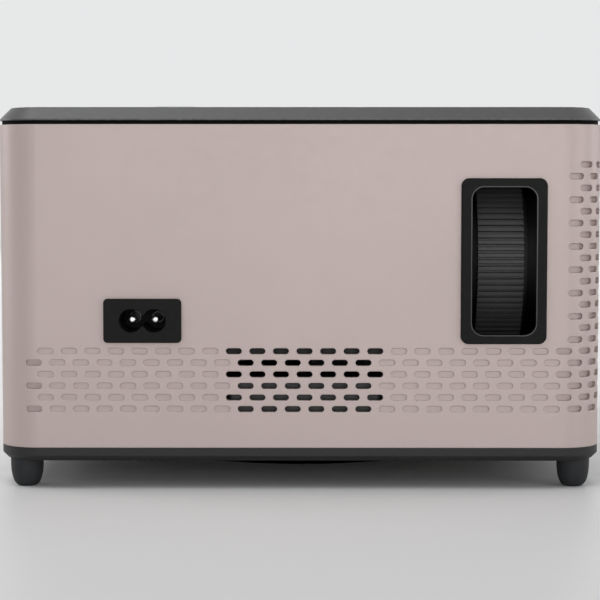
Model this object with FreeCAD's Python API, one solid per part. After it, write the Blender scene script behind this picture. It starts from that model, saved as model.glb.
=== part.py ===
"""Table-top projector with a built-in disc loader.

Millimetres, +Z up. The lens looks along +X and the focus wheel, mains inlet and
air intake are in the long side at -Y. The disc tray comes out of the long side at +Y.
The origin is on the ground, at the middle of the footprint.
"""
import FreeCAD, Part
import math
import os

V = FreeCAD.Vector
X_DIR, Y_DIR, Z_DIR = V(1, 0, 0), V(0, 1, 0), V(0, 0, 1)

# ---------------------------------------------------------------- driving dimensions
# Casing
body_length = 177.0        # along X, over the sheath
body_depth = 200.0         # along Y, over the sheath
sheath_height = 94.1
corner_radius = 12.0
wall = 2.2
foot_height = 8.3
base_thickness = 4.0
base_chamfer = 1.5
groove_height = 1.2        # shadow line between sheath and lid
groove_depth = 1.8
lid_height = 3.9
lid_chamfer = 3.5
lid_edge_radius = 1.2      # where the chamfer meets the top
lid_skin = 2.4
tongue_thickness = 1.6     # lips of base and lid that stand inside the sheath
tongue_height = 3.0
trim_proud = 1.2           # inlet flange, wheel bezel and tray front stand this far out

# Clearances
fit_gap = 0.2              # fixed piece in its cut-out
seat_gap = 0.3             # between neighbours that don't touch
run_gap = 0.06             # shaft in its bore, on the radius
slide_gap = 0.25           # sliding faces of the disc tray
tooth_gap = 0.25           # backlash of meshed teeth

# Slot pattern of the sheath
slot_length = 4.65
slot_height = 1.8
slot_pitch = 6.86
row_pitch = 3.3875
slot_margin = 11.35        # sheath's lower edge to the lowest row
slot_land = 1.0            # least land between a slot and another opening
fan_grille_margin = 5.0    # fan's edge to the middle of the outermost slots
speaker_grille_margin = 4.0
band_rows = 6
blind_depth = 0.5
corner_blind_depth = 1.3
vent_x = 1.4               # middle of the open intake slots
vent_reach = 3             # open slots each side of the middle
front_slot_start = 2.0     # first slot of the front pattern, past the end of the flat

# Feet, screws and tripod insert
foot_inset = 8.0
foot_top_radius = 4.8
foot_tip_radius = 3.2
foot_flat_radius = 1.8
foot_stem_radius = 2.0
foot_stem_length = 2.8
foot_round = 1.1           # height of the rounded tip
foot_bulge = V(0.22, 0, 0.36)
boss_radius = 3.6
boss_height = 14.0
boss_inset = 6.4           # boss axis to the sheath's inner face
boss_from_end = 60.0
boss_web = 2.4
boss_end = 2.0             # solid end of a boss over its pilot hole
screw_radius = 1.5
screw_head_radius = 2.8
screw_head_height = 1.6
screw_length = 13.0
short_screw_length = 3.2
short_head_height = 1.0
screw_recess = 0.5         # cross recess of every screw head: width, then depth
screw_recess_depth = 0.6
tripod_radius = 3.175      # 1/4 inch thread, stated by its outer radius
tripod_sleeve_radius = 5.5
tripod_length = 8.0
tripod_x = 44.0
tripod_from_front_wall = 42.0

# Mains inlet, two-pin figure-of-eight
inlet_x = -45.7
inlet_height = 37.2        # above the sheath's lower edge
inlet_flange_width = 22.6
inlet_flange_height = 12.8
inlet_flange_radius = 1.2
inlet_body_width = 18.6
inlet_body_height = 10.2
inlet_body_depth = 19.0
inlet_body_radius = 0.8
inlet_waist = 3.2          # height of the cavity between its two lobes
inlet_lobe_radius = 3.45
inlet_pin_spacing = 6.8
inlet_cavity_depth = 14.5
inlet_pin_radius = 1.18
inlet_pin_length = 10.5
inlet_tag_length = 4.0     # pins behind the body
inlet_pin_round = 0.7

# Focus wheel and its bezel
wheel_offset = 2.3         # middle of the wheel behind the middle of its bezel
wheel_radius = 31.5
wheel_inset = 2.0          # wheel's nearest point inside the side face
wheel_width = 16.8
wheel_ribs = 104
wheel_rib_height = 0.8
wheel_shoulder = 3.4       # smooth band beside the ribs
wheel_shoulder_step = 1.6
wheel_web = 2.0            # wheel's ends beside the drive pins
wheel_dish_depth = 3.0
wheel_rim = 2.0
wheel_hub = 4.2
drive_pin_room = 2.8       # over the barrel, inside the wheel
bezel_from_end = 29.3
bezel_drop = 0.4           # middle of the bezel under the optical axis
bezel_width = 24.9
bezel_height = 48.1
bezel_outer_radius = 2.3
bezel_opening_width = 19.0
bezel_opening_height = 43.2
bezel_opening_radius = 3.6
bezel_insert_border = 1.6
bezel_insert_depth = 1.4
bezel_edge = 0.5

# Lens
lens_height = 54.9         # optical axis above the sheath's lower edge
barrel_radius = 24.0
barrel_wall = 1.5
barrel_flange_lip = 3.5
barrel_shoulder = 1.2      # rings that keep the wheel in place, over the barrel
barrel_flange_thickness = 3.0
nose_radius = 20.4
nose_wall = 1.8
nose_setback = 1.8         # nose end behind the sheath's inner face
cell_wall = 2.4
cell_half_length = 12.0
focus_travel = 4.0         # each way
drive_pin_radius = 1.0
front_ring_radius = 21.0
front_ring_lip = 1.0
front_ring_sleeve = 19.4
front_ring_sleeve_depth = 1.5

# Light engine
engine_width = 60.0
engine_middle_x = -4.0
engine_height = 56.0
engine_wall = 2.0
engine_lip = 1.0           # barrel's flange to the engine's near end
engine_back = 92.5         # optical axis to the engine's far end
engine_cover_thickness = 1.6
mirror_thickness = 2.0
plate_groove = 0.8
field_lens_at = 30.0       # distances from the optical axis, along Y
panel_at = 35.0
collimator_at = 43.0
heat_glass_at = 50.0
condenser_at = 62.0
condenser_radius = 24.0
engine_post_radius = 3.6
condenser_seat = 3.4
led_board = 22.0
sink_base = 5.0
sink_depth = 32.0
sink_fins = 15
sink_fin_thickness = 1.2
sink_half_height = 26.0
fan_size = 60.0
fan_depth = 15.0
fan_bore_radius = 28.0
fan_hub_radius = 11.0
fan_blades = 7
fan_hole_spacing = 50.0
fan_hole_radius = 2.1
fan_stator = 2.5
fan_shaft_radius = 1.5
blade_width = 15.0
blade_thickness = 1.2
blade_angle = 32.0
blade_tip_gap = 0.8
duct_wall = 1.5

# Intake blower
blower_size = 50.0
blower_height = 15.0
blower_lift = 3.4
impeller_radius = 19.0
impeller_vanes = 22
blower_eye_radius = 16.0
blower_outlet = 20.0
blower_wall = 1.6
blower_from_wall = 2.8     # blower to the sheath's near wall
duct_gap = 0.4
blower_skin = 1.2
blower_shaft_radius = 1.2
floor_slots = 7            # intake slots of the base, under the blower
floor_slot_pitch = 6.0
floor_slot_length = 32.0
floor_slot_width = 2.8

# Disc loader
disc_radius = 60.0
mini_disc_radius = 40.0
disc_play = 0.4
mini_pocket_depth = 0.6    # under the floor of the large pocket
loader_wall = 2.0
loader_back_wall = 1.0
loader_lift = 0.9
loader_height = 21.0
loader_floor = 1.2
tray_side_border = 4.1     # disc pocket to the tray's side
tray_flange = 4.1
tray_flange_height = 2.0
tray_rail = 1.8            # shelf under the flange
tray_hold_down = 1.5       # strip over the flange
tray_rail_reach = 3.0
tray_play = 0.4            # flange to the loader's wall
tray_level = 14.5          # tray underside above the loader's underside
tray_thickness = 4.5
tray_floor = 1.8
tray_front_border = 3.4    # disc pocket to the tray's front edge
tray_back_border = 6.6     # disc pocket to the tray's back edge
tray_back_gap = 1.5
tray_slot_half_width = 20.0
tray_slot_reach = 18.0     # slot's front end past the spindle
rack_from_side = 6.5       # rack's pitch line to the tray's side
rack_back = 2.6
door_inset = 1.0           # door's end to the loader's side
door_edge = 0.6
door_height = 12.0
door_below_tray = 5.0
door_depth = 1.0           # tray front's back face behind the sheath's inner face
tooth_module = 1.0
pressure_angle = 20.0
tip_height = 0.75          # of a tooth, in modules
root_depth = 1.15
gear_teeth = 18
gear_thickness = 2.1
gear_from_front = 11.6
pulley_radius = 11.0
pulley_thickness = 2.6
motor_pulley_radius = 3.5
motor_from_gear = 30.0
loading_motor_radius = 11.0
loading_motor_height = 7.6
motor_from_front = 4.0     # motor's axis behind the gear's
motor_shaft_radius = 1.0
gear_pin_radius = 1.5
belt_thickness = 1.0
belt_groove = 1.4
pulley_lip = 0.6

# Traverse deck
deck_half_width = 34.0
deck_front = 19.0          # past the spindle
deck_height = 4.0
deck_skin = 2.0
deck_top = 9.5             # above the loader's underside
deck_pin_radius = 1.5
deck_pin_length = 4.2
deck_drop_angle = 2.8
turntable_radius = 15.0
turntable_rise = 2.4       # turntable's face above the tray's underside
spindle_motor_radius = 12.5
sled_half_width = 22.0
sled_length = 12.0
sled_start = 23.0          # pickup lens to spindle axis, at rest
sled_travel = 33.0
rod_radius = 1.5
rod_spacing = 32.0
pinion_teeth = 16
pinion_module = 0.5
pinion_gap = 0.16          # backlash of the pickup's pinion and rack
pinion_lift = 0.3
pinion_thickness = 1.9
cam_travel = 6.0
cam_thickness = 2.0
cam_half_length = 22.0
cam_gap = 1.2              # deck's front edge to the cam slider
cam_pin_radius = 1.2
cam_rail = 1.6             # rails that keep the slider, each side of it
cam_rail_height = 1.8
cam_rail_reach = 24.0
cam_rail_break = 3.0       # half the gap that lets the deck's pin pass the near rail
deck_wall = 1.6
deck_pin_root = 3.0        # length of the deck's front pin under its skin
clamp_width = 26.0
clamp_radius = 11.5
clamp_neck_radius = 9.0
clamp_cap_radius = 12.0
bridge_thickness = 1.0

# Frame, boards, ports and speakers
frame_skin = 1.5
frame_over_loader = 1.4
frame_beside_loader = 1.5
frame_leg = 3.5
leg_width = 14.0
stud_radius = 2.8
driver_lift = 4.0
board_skin = 1.6
main_board_height = 37.3   # above the sheath's lower edge
main_board_width = 44.0
main_board_length = 80.0
panel_from = -46.0
panel_to = 36.0
panel_under_board = 2.3    # panel's lower edge to the board's underside
panel_height = 31.0
panel_thickness = 2.0
panel_lip = 2.0
panel_radius = 2.0
shell_skin = 0.6           # sheet metal of the ports
speaker_size = 38.0
speaker_depth = 14.0
speaker_from_far = 34.0
ir_width = 16.0
ir_height = 7.0
ir_y = 20.0
ir_radius = 1.5
ir_flange = 1.5

# Keys
key_pitch = 15.0
key_radius = 4.6
key_travel = 0.8
key_flange = 1.1
key_lip = 1.0
key_edge = 0.5
key_stem_radius = 1.5
key_rest_gap = 0.05
key_x = -46.0
key_y = 8.0
switch_size = 6.0
switch_height = 2.4
switch_clear = 1.0         # switch tops to the key flanges when pressed
lid_boss_radius = 2.5

# Ribbed patch of the lid, by its -Y edge
strip_x = -42.0
strip_from_edge = 8.0
strip_length = 4.0
strip_ribs = 20
strip_rib_width = 0.28
strip_rib_pitch = 0.56
strip_rise = 0.3

# ---------------------------------------------------------------- levels and places
half_x = body_length / 2
half_y = body_depth / 2
z_base = foot_height
z_floor = z_base + base_thickness
z_sheath = z_floor + sheath_height
z_lid = z_sheath + groove_height
z_top = z_lid + lid_height
inner_x = half_x - wall
inner_y = half_y - wall
row_count = 1 + int((sheath_height - 2 * slot_margin) / row_pitch)

bezel_x = half_x - bezel_from_end
wheel_x = bezel_x - wheel_offset
lens_y = -half_y + wheel_inset + wheel_radius
lens_z = z_floor + lens_height
bezel_z = lens_z - bezel_drop
inlet_z = z_floor + inlet_height
barrel_bore = barrel_radius - barrel_wall
barrel_flange_radius = barrel_radius + barrel_flange_lip
engine_nose = barrel_flange_radius + engine_lip
nose_bore = nose_radius - nose_wall
nose_end = inner_x - nose_setback

engine_x0 = engine_middle_x - engine_width / 2
engine_x1 = engine_middle_x + engine_width / 2
engine_y0 = lens_y - engine_nose
engine_y1 = lens_y + engine_back
engine_z0 = lens_z - engine_height / 2
engine_z1 = lens_z + engine_height / 2

pocket_radius = disc_radius + disc_play
tray_half_width = pocket_radius + tray_side_border
loader_half_width = tray_half_width + tray_flange + tray_play + loader_wall
door_half_width = loader_half_width - door_inset
frame_half_width = loader_half_width + frame_beside_loader + frame_leg
tray_length = 2 * pocket_radius + tray_front_border + tray_back_border
loader_z = z_floor + loader_lift
loader_top = loader_z + loader_height
door_y = inner_y - door_depth
loader_y1 = door_y - seat_gap
tray_y1 = door_y
tray_y0 = tray_y1 - tray_length
loader_y0 = tray_y0 - tray_back_gap
tray_z = loader_z + tray_level
tray_top = tray_z + tray_thickness
spindle_y = tray_y1 - tray_front_border - pocket_radius
deck_z = loader_z + deck_top - deck_height
deck_y0 = loader_y0 + 2.5
deck_y1 = spindle_y + deck_front
deck_pin_y = deck_y0 + 3.0

frame_z = loader_top + frame_over_loader
frame_top = frame_z + frame_skin
fan_y = engine_y1 + sink_depth + 0.8

blower_y = -inner_y + blower_from_wall + blower_size / 2
blower_x = vent_x
duct_y0 = blower_y + blower_size / 2 + duct_gap
duct_y1 = loader_y0 - seat_gap
duct_x1 = blower_x + blower_size / 2 - blower_wall
duct_x0 = duct_x1 - blower_outlet
blower_z = z_floor + blower_lift
power_board_z = z_floor + 6.0
tripod_y = -inner_y + tripod_from_front_wall

strip_y = -half_y + strip_from_edge
switch_top = z_top - lid_skin - key_flange - key_travel - switch_clear
key_board_top = switch_top - switch_height

board_z = z_floor + main_board_height
board_x0 = -inner_x + panel_thickness + 1.0
board_x1 = board_x0 + main_board_width
board_y0 = (panel_from + panel_to) / 2 - main_board_length / 2
board_y1 = board_y0 + main_board_length
panel_z0 = board_z - panel_under_board
panel_z1 = panel_z0 + panel_height

rack_x = -tray_half_width + rack_from_side
gear_radius = gear_teeth * tooth_module / 2
gear_x = rack_x + gear_radius
gear_y = loader_y1 - gear_from_front
gear_z = tray_z - gear_thickness - slide_gap
motor_x = gear_x + motor_from_gear
motor_y = gear_y - motor_from_front
deck_level = deck_z + deck_height
pinion_radius = pinion_teeth * pinion_module / 2
pinion_x = sled_half_width + 2.0 + pinion_radius
pinion_y = spindle_y - sled_start - 6.0
sled_y = spindle_y - sled_start
cam_y = deck_y1 + cam_gap
cam_slope = (deck_y1 - deck_pin_y) * math.sin(math.radians(deck_drop_angle)) / cam_travel
cam_pin_z = deck_z + deck_height / 2

parts = {}


# ---------------------------------------------------------------- shape helpers
def block(x0, x1, y0, y1, z0, z1):
    """Box between two corners."""
    return Part.makeBox(x1 - x0, y1 - y0, z1 - z0, V(x0, y0, z0))


def centred(x, y, z, dx, dy, dz):
    """Box about a middle point."""
    return block(x - dx / 2, x + dx / 2, y - dy / 2, y + dy / 2, z - dz / 2, z + dz / 2)


def post(x, y, z0, z1, radius):
    """Upright round post."""
    return Part.makeCylinder(radius, z1 - z0, V(x, y, z0), Z_DIR)


def rod(start, direction, length, radius):
    """Round rod from a point along a direction."""
    return Part.makeCylinder(radius, length, V(*start), direction)


def tube(start, direction, length, outer, inner):
    """Round tube from a point along a direction."""
    return rod(start, direction, length, outer).cut(rod(start, direction, length, inner))


def rounded_outline(width, height, radius):
    """Closed wire of a rounded rectangle about the origin, in the XY plane."""
    a, b = width / 2 - radius, height / 2 - radius
    edges = []
    for turn, (cx, cy) in enumerate(((a, b), (-a, b), (-a, -b), (a, -b))):
        start = turn * math.pi / 2
        points = [V(cx + radius * math.cos(start + k * math.pi / 4),
                    cy + radius * math.sin(start + k * math.pi / 4), 0) for k in range(3)]
        edges.append(Part.Arc(*points).toShape())
    corners = []
    for index, edge in enumerate(edges):
        corners.append(edge)
        tail = edge.Vertexes[-1].Point
        head = edges[(index + 1) % 4].Vertexes[0].Point
        if tail.distanceToPoint(head) > 1e-6:
            corners.append(Part.makeLine(tail, head))
    return Part.Wire(corners)


def rounded_prism(width, depth, radius, z0, z1, x=0.0, y=0.0):
    """Upright prism with rounded corners."""
    face = Part.Face(rounded_outline(width, depth, radius))
    solid = face.extrude(V(0, 0, z1 - z0))
    solid.translate(V(x, y, z0))
    return solid


def on_side(shape, point, outward):
    """Place a shape drawn in XY, with its depth along -Z, on a side wall.

    Its X runs along the wall, its Y goes up and its +Z becomes the outward normal,
    which is given as an angle about +Z from +X, in degrees.
    """
    upright = FreeCAD.Rotation(X_DIR, 90)
    turned = FreeCAD.Rotation(Z_DIR, outward + 90)
    placed = shape.copy()
    placed.Placement = FreeCAD.Placement(V(*point), turned.multiply(upright))
    return placed


def side_prism(width, height, radius, depth_in, depth_out, point, outward):
    """Rounded prism through a side wall, from depth_in behind the point to depth_out in front."""
    face = Part.Face(rounded_outline(width, height, radius))
    face.translate(V(0, 0, -depth_in))
    return on_side(face.extrude(V(0, 0, depth_in + depth_out)), point, outward)


def turned(profile, base, axis):
    """Solid of revolution: profile is (along, radius) pairs, from base along axis."""
    helper = V(0, 0, 1) if abs(axis.z) < 0.5 else V(1, 0, 0)
    origin = V(*base)
    points = [origin + axis * along + helper * radius for along, radius in profile]
    wire = Part.makePolygon(points + [points[0]])
    return Part.Face(wire).revolve(origin, axis, 360)


def ball_cap(centre, radius, towards):
    """Ball whose seam is turned away from the side that is used."""
    ball = Part.makeSphere(radius)
    ball.Placement = FreeCAD.Placement(centre, FreeCAD.Rotation(X_DIR, towards * -1))
    return ball


def lens(base, axis, radius, edge, front_bulge, back_bulge):
    """Round lens of a given edge thickness, bulging by the given heights on each side."""
    origin = V(*base)
    blank = Part.makeCylinder(radius, edge + front_bulge + back_bulge + 2,
                              origin - axis * (back_bulge + 1), axis)
    for bulge, face, way in ((front_bulge, edge, 1), (back_bulge, 0, -1)):
        ball = (radius ** 2 + bulge ** 2) / (2 * bulge)
        middle = origin + axis * (face + way * (bulge - ball))
        blank = blank.common(ball_cap(middle, ball, axis * way))
    return blank


def joined(first, *others):
    """One solid from touching or crossing shapes."""
    return first.fuse(list(others)).removeSplitter()


def put(name, *solids):
    """Keep the named node: one solid, or a group of separate ones."""
    flat = [solid for shape in solids for solid in shape.Solids]
    parts[name] = flat[0] if len(flat) == 1 else Part.makeCompound(flat)


# ---------------------------------------------------------------- casing
def side_place(run, inset=0.0):
    """Point and outward angle on the casing's outline.

    run is the distance along the outline, from the middle of the -Y side towards +X.
    """
    flat_x = half_x - corner_radius
    flat_y = half_y - corner_radius
    arc = corner_radius * math.pi / 2
    radius = corner_radius - inset
    if run < -flat_x:
        angle = -90 + math.degrees((run + flat_x) / corner_radius)
        cx, cy = -flat_x, -flat_y
    elif run <= flat_x:
        return (run, -half_y + inset), -90
    elif run <= flat_x + arc:
        angle = -90 + math.degrees((run - flat_x) / corner_radius)
        cx, cy = flat_x, -flat_y
    elif run <= flat_x + arc + 2 * flat_y:
        return (half_x - inset, run - flat_x - arc - flat_y), 0
    else:
        angle = math.degrees((run - flat_x - arc - 2 * flat_y) / corner_radius)
        cx, cy = flat_x, flat_y
    turn = math.radians(angle)
    return (cx + radius * math.cos(turn), cy + radius * math.sin(turn)), angle


def slot_tool(point, z, outward, depth):
    """Cutter for one round-ended slot."""
    return side_prism(slot_length, slot_height, slot_height / 2 - 1e-3, depth, 1.0,
                      (point[0], point[1], z), outward)


def row_height(row):
    """Middle of a slot row, counted from the lowest."""
    return z_floor + slot_margin + row * row_pitch


def near_and_front_slots():
    """Blind band, open intake and the pattern that wraps onto the front end."""
    flat_x = half_x - corner_radius
    flat_y = half_y - corner_radius
    arc = corner_radius * math.pi / 2
    front_middle = flat_x + arc + flat_y
    front_start = flat_x + front_slot_start
    last = 2 * front_middle - front_start
    keep_clear = front_ring_radius + slot_length / 2 + slot_land
    tools = []
    for row in range(row_count):
        z = row_height(row)
        shift = 0.5 if row % 2 == 0 else 0.0
        lowest = math.ceil((-flat_x - 1.0 - vent_x) / slot_pitch - shift)
        highest = math.floor((last - vent_x) / slot_pitch - shift)
        for index in range(lowest, highest + 1):
            run = vent_x + (index + shift) * slot_pitch
            if row >= band_rows and run < front_start:
                continue
            point, outward = side_place(run)
            if outward == 0:
                if math.hypot(point[1] - lens_y, z - lens_z) < keep_clear:
                    continue
                if abs(point[1] - ir_y) < (ir_width + slot_length) / 2 + slot_land and \
                        abs(z - lens_z) < (ir_height + slot_height) / 2 + slot_land:
                    continue
                speaker = math.hypot(point[1] - (half_y - speaker_from_far), z - lens_z)
                is_open = speaker < speaker_size / 2 - slot_length / 2 - slot_land
            else:
                is_open = row < band_rows and abs(index + shift) <= vent_reach
            on_corner = outward not in (-90, 0)
            depth = 2 * wall if is_open else (corner_blind_depth if on_corner else blind_depth)
            tools.append(slot_tool(point, z, outward, depth))
    return tools


def lattice(middle, reach, outward, height, half_height):
    """Open slots over a patch of a flat side, staggered row by row."""
    tools = []
    for row in range(row_count):
        z = row_height(row)
        if abs(z - height) > half_height:
            continue
        shift = 0.5 if row % 2 == 0 else 0.0
        count = int(reach / slot_pitch)
        for index in range(-count, count + 1):
            along = (index + shift) * slot_pitch
            if abs(along) > reach:
                continue
            point = (middle + along, half_y) if outward == 90 else (-half_x, middle + along)
            tools.append(slot_tool(point, z, outward, 2 * wall))
    return tools


def case_bosses():
    """Places of the four screw bosses on the long sides: x, y, and the side they grow from."""
    for x in (-1, 1):
        for y in (-1, 1):
            yield x * (inner_x - boss_inset), y * (inner_y - boss_from_end), x


def make_sheath():
    body = rounded_prism(body_length, body_depth, corner_radius, z_floor, z_sheath)
    body = body.cut(rounded_prism(2 * inner_x, 2 * inner_y, corner_radius - wall,
                                  z_floor - 1, z_sheath + 1))
    bosses, pilots = [], []
    for x, y, side in case_bosses():
        low = z_floor + tongue_height + seat_gap
        high = z_floor + boss_height
        web = block(min(x, side * (inner_x + wall / 2)), max(x, side * (inner_x + wall / 2)),
                    y - boss_web / 2, y + boss_web / 2, low, high)
        bosses += [post(x, y, low, high, boss_radius), web]
        pilots.append(post(x, y, low - 1, high - boss_end, screw_radius + run_gap))
    body = body.fuse(bosses)
    cuts = near_and_front_slots()
    fan_reach = fan_size / 2 - fan_grille_margin
    speaker_reach = speaker_size / 2 - speaker_grille_margin
    cuts += lattice(engine_middle_x, fan_reach, 90, lens_z, fan_reach)
    cuts += lattice(half_y - speaker_from_far, speaker_reach, 180, lens_z, speaker_reach)
    cuts.append(side_prism(inlet_body_width + fit_gap, inlet_body_height + fit_gap, inlet_body_radius,
                           2 * wall, 1, (inlet_x, -half_y, inlet_z), -90))
    insert_width = bezel_opening_width + 2 * bezel_insert_border + fit_gap
    insert_height = bezel_opening_height + 2 * bezel_insert_border + fit_gap
    cuts.append(side_prism(insert_width, insert_height, bezel_opening_radius, 2 * wall, 1,
                           (bezel_x, -half_y, bezel_z), -90))
    cuts.append(rod((inner_x - 1, lens_y, lens_z), X_DIR, wall + 2, front_ring_sleeve + fit_gap))
    cuts.append(rod((half_x - front_ring_lip, lens_y, lens_z), X_DIR, 5, front_ring_radius + fit_gap))
    cuts.append(side_prism(ir_width, ir_height, ir_radius, 2 * wall, 1, (half_x, ir_y, lens_z), 0))
    cuts.append(side_prism(panel_to - panel_from, panel_height, panel_radius, 2 * wall, 1,
                           (-half_x, (panel_from + panel_to) / 2, (panel_z0 + panel_z1) / 2), 180))
    door_z = tray_z - door_below_tray + door_height / 2
    cuts.append(side_prism(2 * (door_half_width + seat_gap), door_height + 2 * seat_gap, 1.0,
                           2 * wall, 2, (0, half_y, door_z), 90))
    body = body.cut(cuts + pilots)
    put("sheath", body)


def make_base():
    plate = rounded_prism(body_length, body_depth, corner_radius, z_base, z_floor)
    plate = plate.makeChamfer(base_chamfer, [edge for edge in plate.Edges
                                             if edge.BoundBox.ZMax < z_base + 1e-6])
    lip_out = 2 * (inner_x - fit_gap)
    lip_deep = 2 * (inner_y - fit_gap)
    lip_radius = corner_radius - wall - fit_gap
    lip = rounded_prism(lip_out, lip_deep, lip_radius, z_floor - 0.5, z_floor + tongue_height)
    lip = lip.cut(rounded_prism(lip_out - 2 * tongue_thickness, lip_deep - 2 * tongue_thickness,
                                lip_radius - tongue_thickness, z_floor - 1, z_floor + tongue_height + 1))
    grown = [lip]
    holes = []
    for x, y, _side in case_bosses():
        holes.append(post(x, y, z_base - 1, z_floor + 1, screw_radius + fit_gap))
        holes.append(post(x, y, z_base - 1, z_base + screw_head_height + fit_gap,
                          screw_head_radius + fit_gap))
        holes.append(post(x, y, z_floor + 1e-3, z_floor + tongue_height + 1, boss_radius + fit_gap))
    for x, y in foot_places():
        holes.append(post(x, y, z_base - 1, z_base + foot_stem_length + 0.4, foot_stem_radius + fit_gap))
    for x, y in loader_pads():
        grown.append(post(x, y, z_floor - 0.5, loader_z, 4.0))
        holes.append(post(x, y, z_floor - 2.5, loader_z + 1, screw_radius + run_gap))
    holes.append(block(-loader_half_width - seat_gap, loader_half_width + seat_gap, inner_y - 5,
                       inner_y + 1, loader_z - 1e-3, z_floor + tongue_height + 1))
    for x, y in engine_posts():
        grown.append(post(x, y, z_floor - 0.5, engine_z0, engine_post_radius))
    for x, y in power_posts():
        grown.append(post(x, y, z_floor - 0.5, power_board_z, 3.0))
    for x, y in blower_posts():
        grown.append(post(x, y, z_floor - 0.5, z_floor + blower_lift, 2.5))
    grown.append(post(tripod_x, tripod_y, z_floor - 0.5, z_base + tripod_length + 2,
                      tripod_sleeve_radius + 2.2))
    holes.append(post(tripod_x, tripod_y, z_base - 1, z_base + tripod_length, tripod_sleeve_radius))
    for index in range(floor_slots):
        y = blower_y + (index - (floor_slots - 1) / 2) * floor_slot_pitch
        holes.append(block(blower_x - floor_slot_length / 2, blower_x + floor_slot_length / 2,
                           y - floor_slot_width / 2, y + floor_slot_width / 2, z_base - 1, z_floor + 1))
    put("base_plate", plate.fuse(grown).cut(holes).removeSplitter())


def foot_places():
    """Middle of each rubber foot."""
    return [(x * (half_x - foot_inset), y * (half_y - foot_inset)) for x in (-1, 1) for y in (-1, 1)]


def make_feet():
    feet = []
    for x, y in foot_places():
        profile = [V(0, 0, 0), V(foot_flat_radius, 0, 0), V(foot_tip_radius, 0, foot_round),
                   V(foot_top_radius, 0, z_base), V(foot_stem_radius, 0, z_base),
                   V(foot_stem_radius, 0, z_base + foot_stem_length), V(0, 0, z_base + foot_stem_length)]
        bulge = V((foot_flat_radius + foot_tip_radius) / 2, 0, 0) + foot_bulge
        edges = [Part.makeLine(profile[0], profile[1]), Part.Arc(profile[1], bulge, profile[2]).toShape()]
        edges += [Part.makeLine(a, b) for a, b in zip(profile[2:], profile[3:] + profile[:1])]
        foot = Part.Face(Part.Wire(edges)).revolve(V(0, 0, 0), Z_DIR, 360)
        foot.translate(V(x, y, 0))
        feet.append(foot)
    put("rubber_feet", *feet)


def screw(x, y, seat, head_height, length, up):
    """Cross-head screw whose head bears on a seat level; up is +1 or -1, the way its shank goes."""
    face = seat - up * head_height
    tip = seat + up * length
    head = post(x, y, min(seat, face), max(seat, face), screw_head_radius)
    shank = post(x, y, min(seat, tip), max(seat, tip), screw_radius)
    arm = screw_radius
    cross = [centred(x, y, face, 2 * a, 2 * b, 2 * screw_recess_depth)
             for a, b in ((arm, screw_recess / 2), (screw_recess / 2, arm))]
    return joined(head, shank).cut(cross)


def make_screws():
    screws = [screw(x, y, z_base + screw_head_height + fit_gap, screw_head_height, screw_length, 1)
              for x, y, _side in case_bosses()]
    screws += [screw(x, y, loader_z + loader_floor, short_head_height, short_screw_length, -1)
               for x, y in loader_pads()]
    put("case_screws", *screws)


def make_tripod_insert():
    put("tripod_insert", tube((tripod_x, tripod_y, z_base), Z_DIR, tripod_length,
                              tripod_sleeve_radius, tripod_radius))


def key_places():
    """Name and place of each key on the lid."""
    places = {"key_ok": (0, 0), "key_up": (0, 1), "key_down": (0, -1), "key_left": (-1, 0),
              "key_right": (1, 0), "key_power": (-1, 1.6), "key_eject": (1, 1.6)}
    return {name: (key_x + u * key_pitch, key_y + v * key_pitch) for name, (u, v) in places.items()}


def upper_edges(shape):
    """Edges of the shape's flat top."""
    top = shape.BoundBox.ZMax
    return [edge for edge in shape.Edges if edge.BoundBox.ZMin > top - 1e-6]


def make_lid():
    lid = rounded_prism(body_length, body_depth, corner_radius, z_lid, z_top)
    lid = lid.makeChamfer(lid_chamfer, upper_edges(lid))
    lid = lid.makeFillet(lid_edge_radius, upper_edges(lid))
    neck = rounded_prism(body_length - 2 * groove_depth, body_depth - 2 * groove_depth,
                         corner_radius - groove_depth, z_sheath, z_lid + 0.5)
    tongue = rounded_prism(2 * (inner_x - fit_gap), 2 * (inner_y - fit_gap),
                           corner_radius - wall - fit_gap, z_sheath - tongue_height, z_lid + 0.5)
    hollow = rounded_prism(2 * (inner_x - fit_gap - tongue_thickness),
                           2 * (inner_y - fit_gap - tongue_thickness),
                           corner_radius - wall - fit_gap - tongue_thickness,
                           z_sheath - tongue_height - 1, z_top - lid_skin)
    lid = lid.fuse([neck, tongue]).cut(hollow)
    bosses, holes = [], []
    for x, y in key_board_posts():
        bosses.append(post(x, y, key_board_top, z_top - lid_skin + 0.5, lid_boss_radius))
    for x, y in key_places().values():
        holes.append(post(x, y, z_top - lid_skin - 1, z_top + 1, key_radius + fit_gap))
    strip = [block(rib_x, rib_x + strip_rib_width, strip_y, strip_y + strip_length, z_top - 0.1,
                   z_top + strip_rise) for rib_x in [strip_x + strip_rib_pitch * k
                                                     for k in range(strip_ribs)]]
    put("top_lid", lid.fuse(bosses + strip).cut(holes))


def key_board_posts():
    """Lid bosses that carry the keypad board."""
    reach = key_pitch * 1.5
    return [(key_x + u * (reach + 1.5), key_y + v) for u in (-1, 1) for v in (-reach + 4, reach + 4)]


def make_keys():
    for name, (x, y) in key_places().items():
        flange_top = z_top - lid_skin - key_rest_gap
        cap = post(x, y, flange_top - key_flange, z_top, key_radius)
        cap = cap.makeFillet(key_edge, upper_edges(cap))
        flange = post(x, y, flange_top - key_flange, flange_top, key_radius + key_lip)
        stem = post(x, y, switch_top + key_travel + key_rest_gap, flange_top - key_flange + 0.2,
                    key_stem_radius)
        put(name, joined(cap, flange, stem))


def make_keypad_board():
    reach = key_pitch * 1.5
    board = block(key_x - reach - 4, key_x + reach + 4, key_y - reach - 1, key_y + reach + 9,
                  key_board_top - board_skin, key_board_top)
    switches = [centred(x, y, (key_board_top + switch_top) / 2, switch_size, switch_size, switch_height)
                for x, y in key_places().values()]
    put("keypad_board", board.fuse(switches))


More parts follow.
